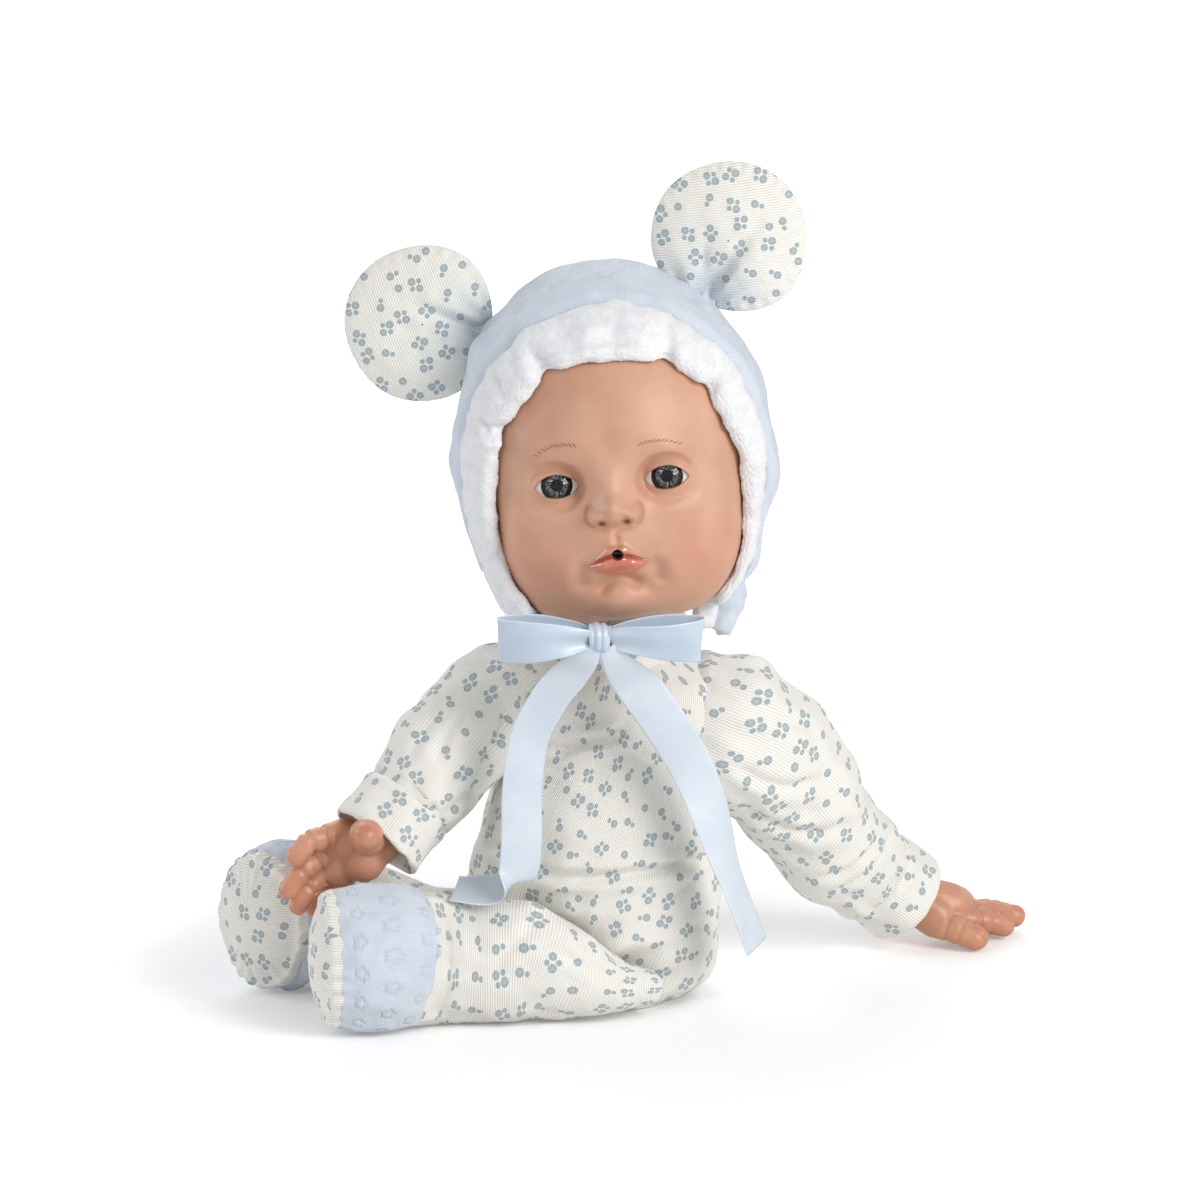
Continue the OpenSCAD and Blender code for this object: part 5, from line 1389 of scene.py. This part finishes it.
# ---------------------------------------------------------------- hands
# The ends of the chains from the wrist into the palm, and the digits from the thumb on, as x, y, z, radius
PALMS = {
    "right": [(-94, -34, 67, 7.0), (-94, -33, 56, 7.2), (-86, -37, 60, 8)],
    "left": [(133, 71, 12.5, 7.4), (125, 61, 11.5, 8.0), (130, 66, 13.6, 8.8)],
}
DIGITS = {
    "right": [[(-83.5, -38, 68.5, 6.6), (-84.2, -46, 71.5, 6.2), (-84.5, -52.5, 73.2, 4.8)],
              [(-93, -34, 70, 4.8), (-100.5, -40, 69, 4.2), (-105.8, -43.5, 68, 4.0),
               (-110, -45.5, 63.5, 3.6)],
              [(-94, -32, 62, 4.6), (-102.5, -38, 60.5, 4.0), (-108, -41.5, 57, 4.0), (-113, -43, 50, 3.5)],
              [(-93, -31, 55, 4.2), (-101, -36, 54, 3.6), (-106, -39, 49.5, 3.5), (-109.6, -40.5, 43.4, 3.2)],
              [(-93, -30, 51, 4.0), (-100, -32, 45, 3.6), (-104, -34, 40.8, 3.1)]],
    "left": [[(124, 59, 9.5, 5.5), (133, 55, 7.5, 4.9), (140, 53, 5, 4.5)],
             [(133, 63, 9, 4.9), (143, 66, 8, 4.5), (151, 69, 5.5, 4.1)],
             [(134, 69, 9.5, 4.9), (145, 73, 9, 4.5), (155, 76, 7, 4.1)],
             [(134, 75, 9, 4.7), (144, 80, 8, 4.3), (152, 84, 6, 3.9)],
             [(131, 79, 8, 4.3), (138, 85, 7, 3.9), (144, 90, 5, 3.5)]],
}
# Which of a digit's thirty rows are creased and how deep, and the side that the nails are on
CREASE_ROWS, CREASE_DEPTH = (12, 20), {"left": 0.4, "right": 0.7}
NAIL_SIDE = {"left": np.array([0.1, 0.0, 1.0]), "right": np.array([-0.6, 0.2, 0.8])}


def capsules(chains):
    """Vertices and faces of rounded tubes, each through points x, y, z, radius."""
    verts, faces, base = [], [], 0
    for points in chains:
        p = limb([(x, y, z, r, r) for x, y, z, r in points], 24, 28, start=points[0][3], end=points[-1][3])[0]
        m, n = p.shape[:2]
        verts += [p.reshape(-1, 3), [p[0].mean(0), p[-1].mean(0)]]
        faces += [tuple(i + base for i in corners) for corners in grid_faces(m, n, True, ends=True)]
        base += m * n + 2
    return np.vstack(verts), faces


def hand(side):
    """A chubby vinyl hand: palm and digits melted together, with creases at the joints, small nails, and
    painted shade round the nails and between the fingers' roots.
    """
    end, way = wrist(side)
    tip = end + way * 20.4
    palm = PALMS[side]
    chains = [[(*(tip - way * 16), 8.2), (*tip, 8.6), palm[0]]]
    chains += [[(*tip, 8.2), palm[1]], [(*tip, 8.0), palm[2]]]
    piece = mesh_object("hand_" + side + "_skin", *capsules(chains + DIGITS[side]))
    remesh = piece.modifiers.new("melt", "REMESH")
    remesh.mode, remesh.voxel_size = "VOXEL", 0.75 * MM
    smooth = piece.modifiers.new("soften", "SMOOTH")
    smooth.factor, smooth.iterations = 0.5, 6
    applied(piece)
    p, n = vertex_rows(piece, "co") / MM, vertex_rows(piece, "normal")
    change, tint_and_painted_shade = np.full(len(p), 0.25), np.ones((len(p), 3))
    for points in DIGITS[side]:
        core = curve(points, 30)
        heading = unit(np.gradient(core[:, :3], axis=0))
        for row in CREASE_ROWS:
            joint, t, r = core[row, :3], heading[row], core[row, 3]
            along = (p - joint) @ t
            off = np.linalg.norm(p - joint - along[:, None] * t, axis=1)
            crease = 0.3 * bell(np.abs(along), 2.0, 1.0) - bell(along, 0, 0.75)
            change += CREASE_DEPTH[side] * crease * ramp(r * 1.5 - off, 0, 1.2)
        end, t, r = core[-1, :3], heading[-1], core[-1, 3]
        up = unit(NAIL_SIDE[side] - (NAIL_SIDE[side] @ t) * t)
        d = p - (end + t * r * 0.25 + up * r * 0.75)
        inside = ((d @ t) / (r * 0.85)) ** 2 + ((d @ np.cross(t, up)) / (r * 0.62)) ** 2
        facing = ((n @ up) > 0.2) * (np.abs(d @ up) < r)
        edge = bell(np.sqrt(inside), 1, 0.16) * facing
        plate = ramp(1 - inside, 0, 0.3) * facing
        change += 0.1 * plate - 0.22 * edge
        # The nail plate's own pinker colour, and painted shade in the groove round it.
        tint_and_painted_shade *= 1 - plate[:, None] * np.array([0.0, 0.06, 0.08]) - 0.12 * edge[:, None]
        glow = ramp((p - end) @ t, -6, 3) * (np.linalg.norm(p - end, axis=1) < 9)
        tint_and_painted_shade *= 1 - glow[:, None] * np.array([0.0, 0.05, 0.07])
    # Painted shade between the roots of neighbouring fingers.
    for a, b in zip(DIGITS[side][1:-1], DIGITS[side][2:]):
        d = np.linalg.norm(p - (np.array(a[0][:3]) + b[0][:3]) / 2, axis=1)
        tint_and_painted_shade *= 1 - 0.12 * bell(d, 0, 3.2)[:, None] * np.array([0.4, 0.8, 1.0])
    move_points(piece, p + n * (change + lumps(p, (0.12, 9, 121)))[:, None])
    paint(piece, "tint_and_painted_shade", tint_and_painted_shade)
    dress(piece, HAND, side + "_hand", "hand_vinyl", "hand_" + side)


# ---------------------------------------------------------------- carried-over nodes
# Materials for the nodes that stay as they are: colour, roughness, bump, grain and metal, and the nodes
CARRIED = (
    ("white_plastic", (232, 233, 234), 0.4, 0.1, 0.8, 0.0,
     "neck_socket neck_tie neck_swivel neck_plate mouth_plunger wrist_collar_left wrist_collar_right "
     "power_slider battery_tray"),
    ("case_plastic", (214, 217, 220), 0.45, 0.15, 0.8, 0.0, "case_front case_back battery_door"),
    ("steel", (176, 178, 182), 0.3, 0.05, 1.2, 1.0, "nod_pin module_screws"),
    ("contact_metal", (205, 180, 120), 0.32, 0.05, 1.2, 1.0, "battery_contacts"),
    ("board", (38, 104, 62), 0.4, 0.1, 0.8, 0.0, "circuit_board"),
    ("speaker_black", (32, 32, 34), 0.55, 0.3, 0.6, 0.0, "speaker mouth_switch"),
    ("cell_wrap", (196, 140, 60), 0.3, 0.03, 2.0, 0.0, "batteries"),
    ("lead_red", (176, 30, 34), 0.5, 0.1, 0.8, 0.0, "body_lead head_lead"),
    ("tape", (240, 240, 240), 0.9, 0.7, 1.6, 0.0, "closure_strips"),
    ("coral_plastic", (196, 104, 84), 0.35, 0.05, 1.5, 0.0, "mouth_cup"),
    ("pellets", (220, 218, 210), 0.7, 0.5, 1.4, 0.0, "pellet_bag"),
)


def carried():
    """Gives the inner nodes their materials."""
    for name, colour, roughness, bump, grain, metal, nodes in CARRIED:
        material = plain(name, rgb(*colour), roughness, bump, grain, Metallic=metal)
        for node in nodes.split():
            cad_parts[node].data.materials.clear()
            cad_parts[node].data.materials.append(material)


# ---------------------------------------------------------------- run
floor()
studio()
romper()
collar()
gusset()
back_flap()
for side in ("left", "right"):
    sleeve(side)
    cuff(side)
for make in (leg, foot):
    make("left")
    make("right")
face_skin()
eyes()
brows()
bonnet()
brim()
corner_tab()
for make in (ear, loop):
    make("left")
    make("right")
knot()
for make in (tail, strap, hand):
    make("left")
    make("right")
carried()
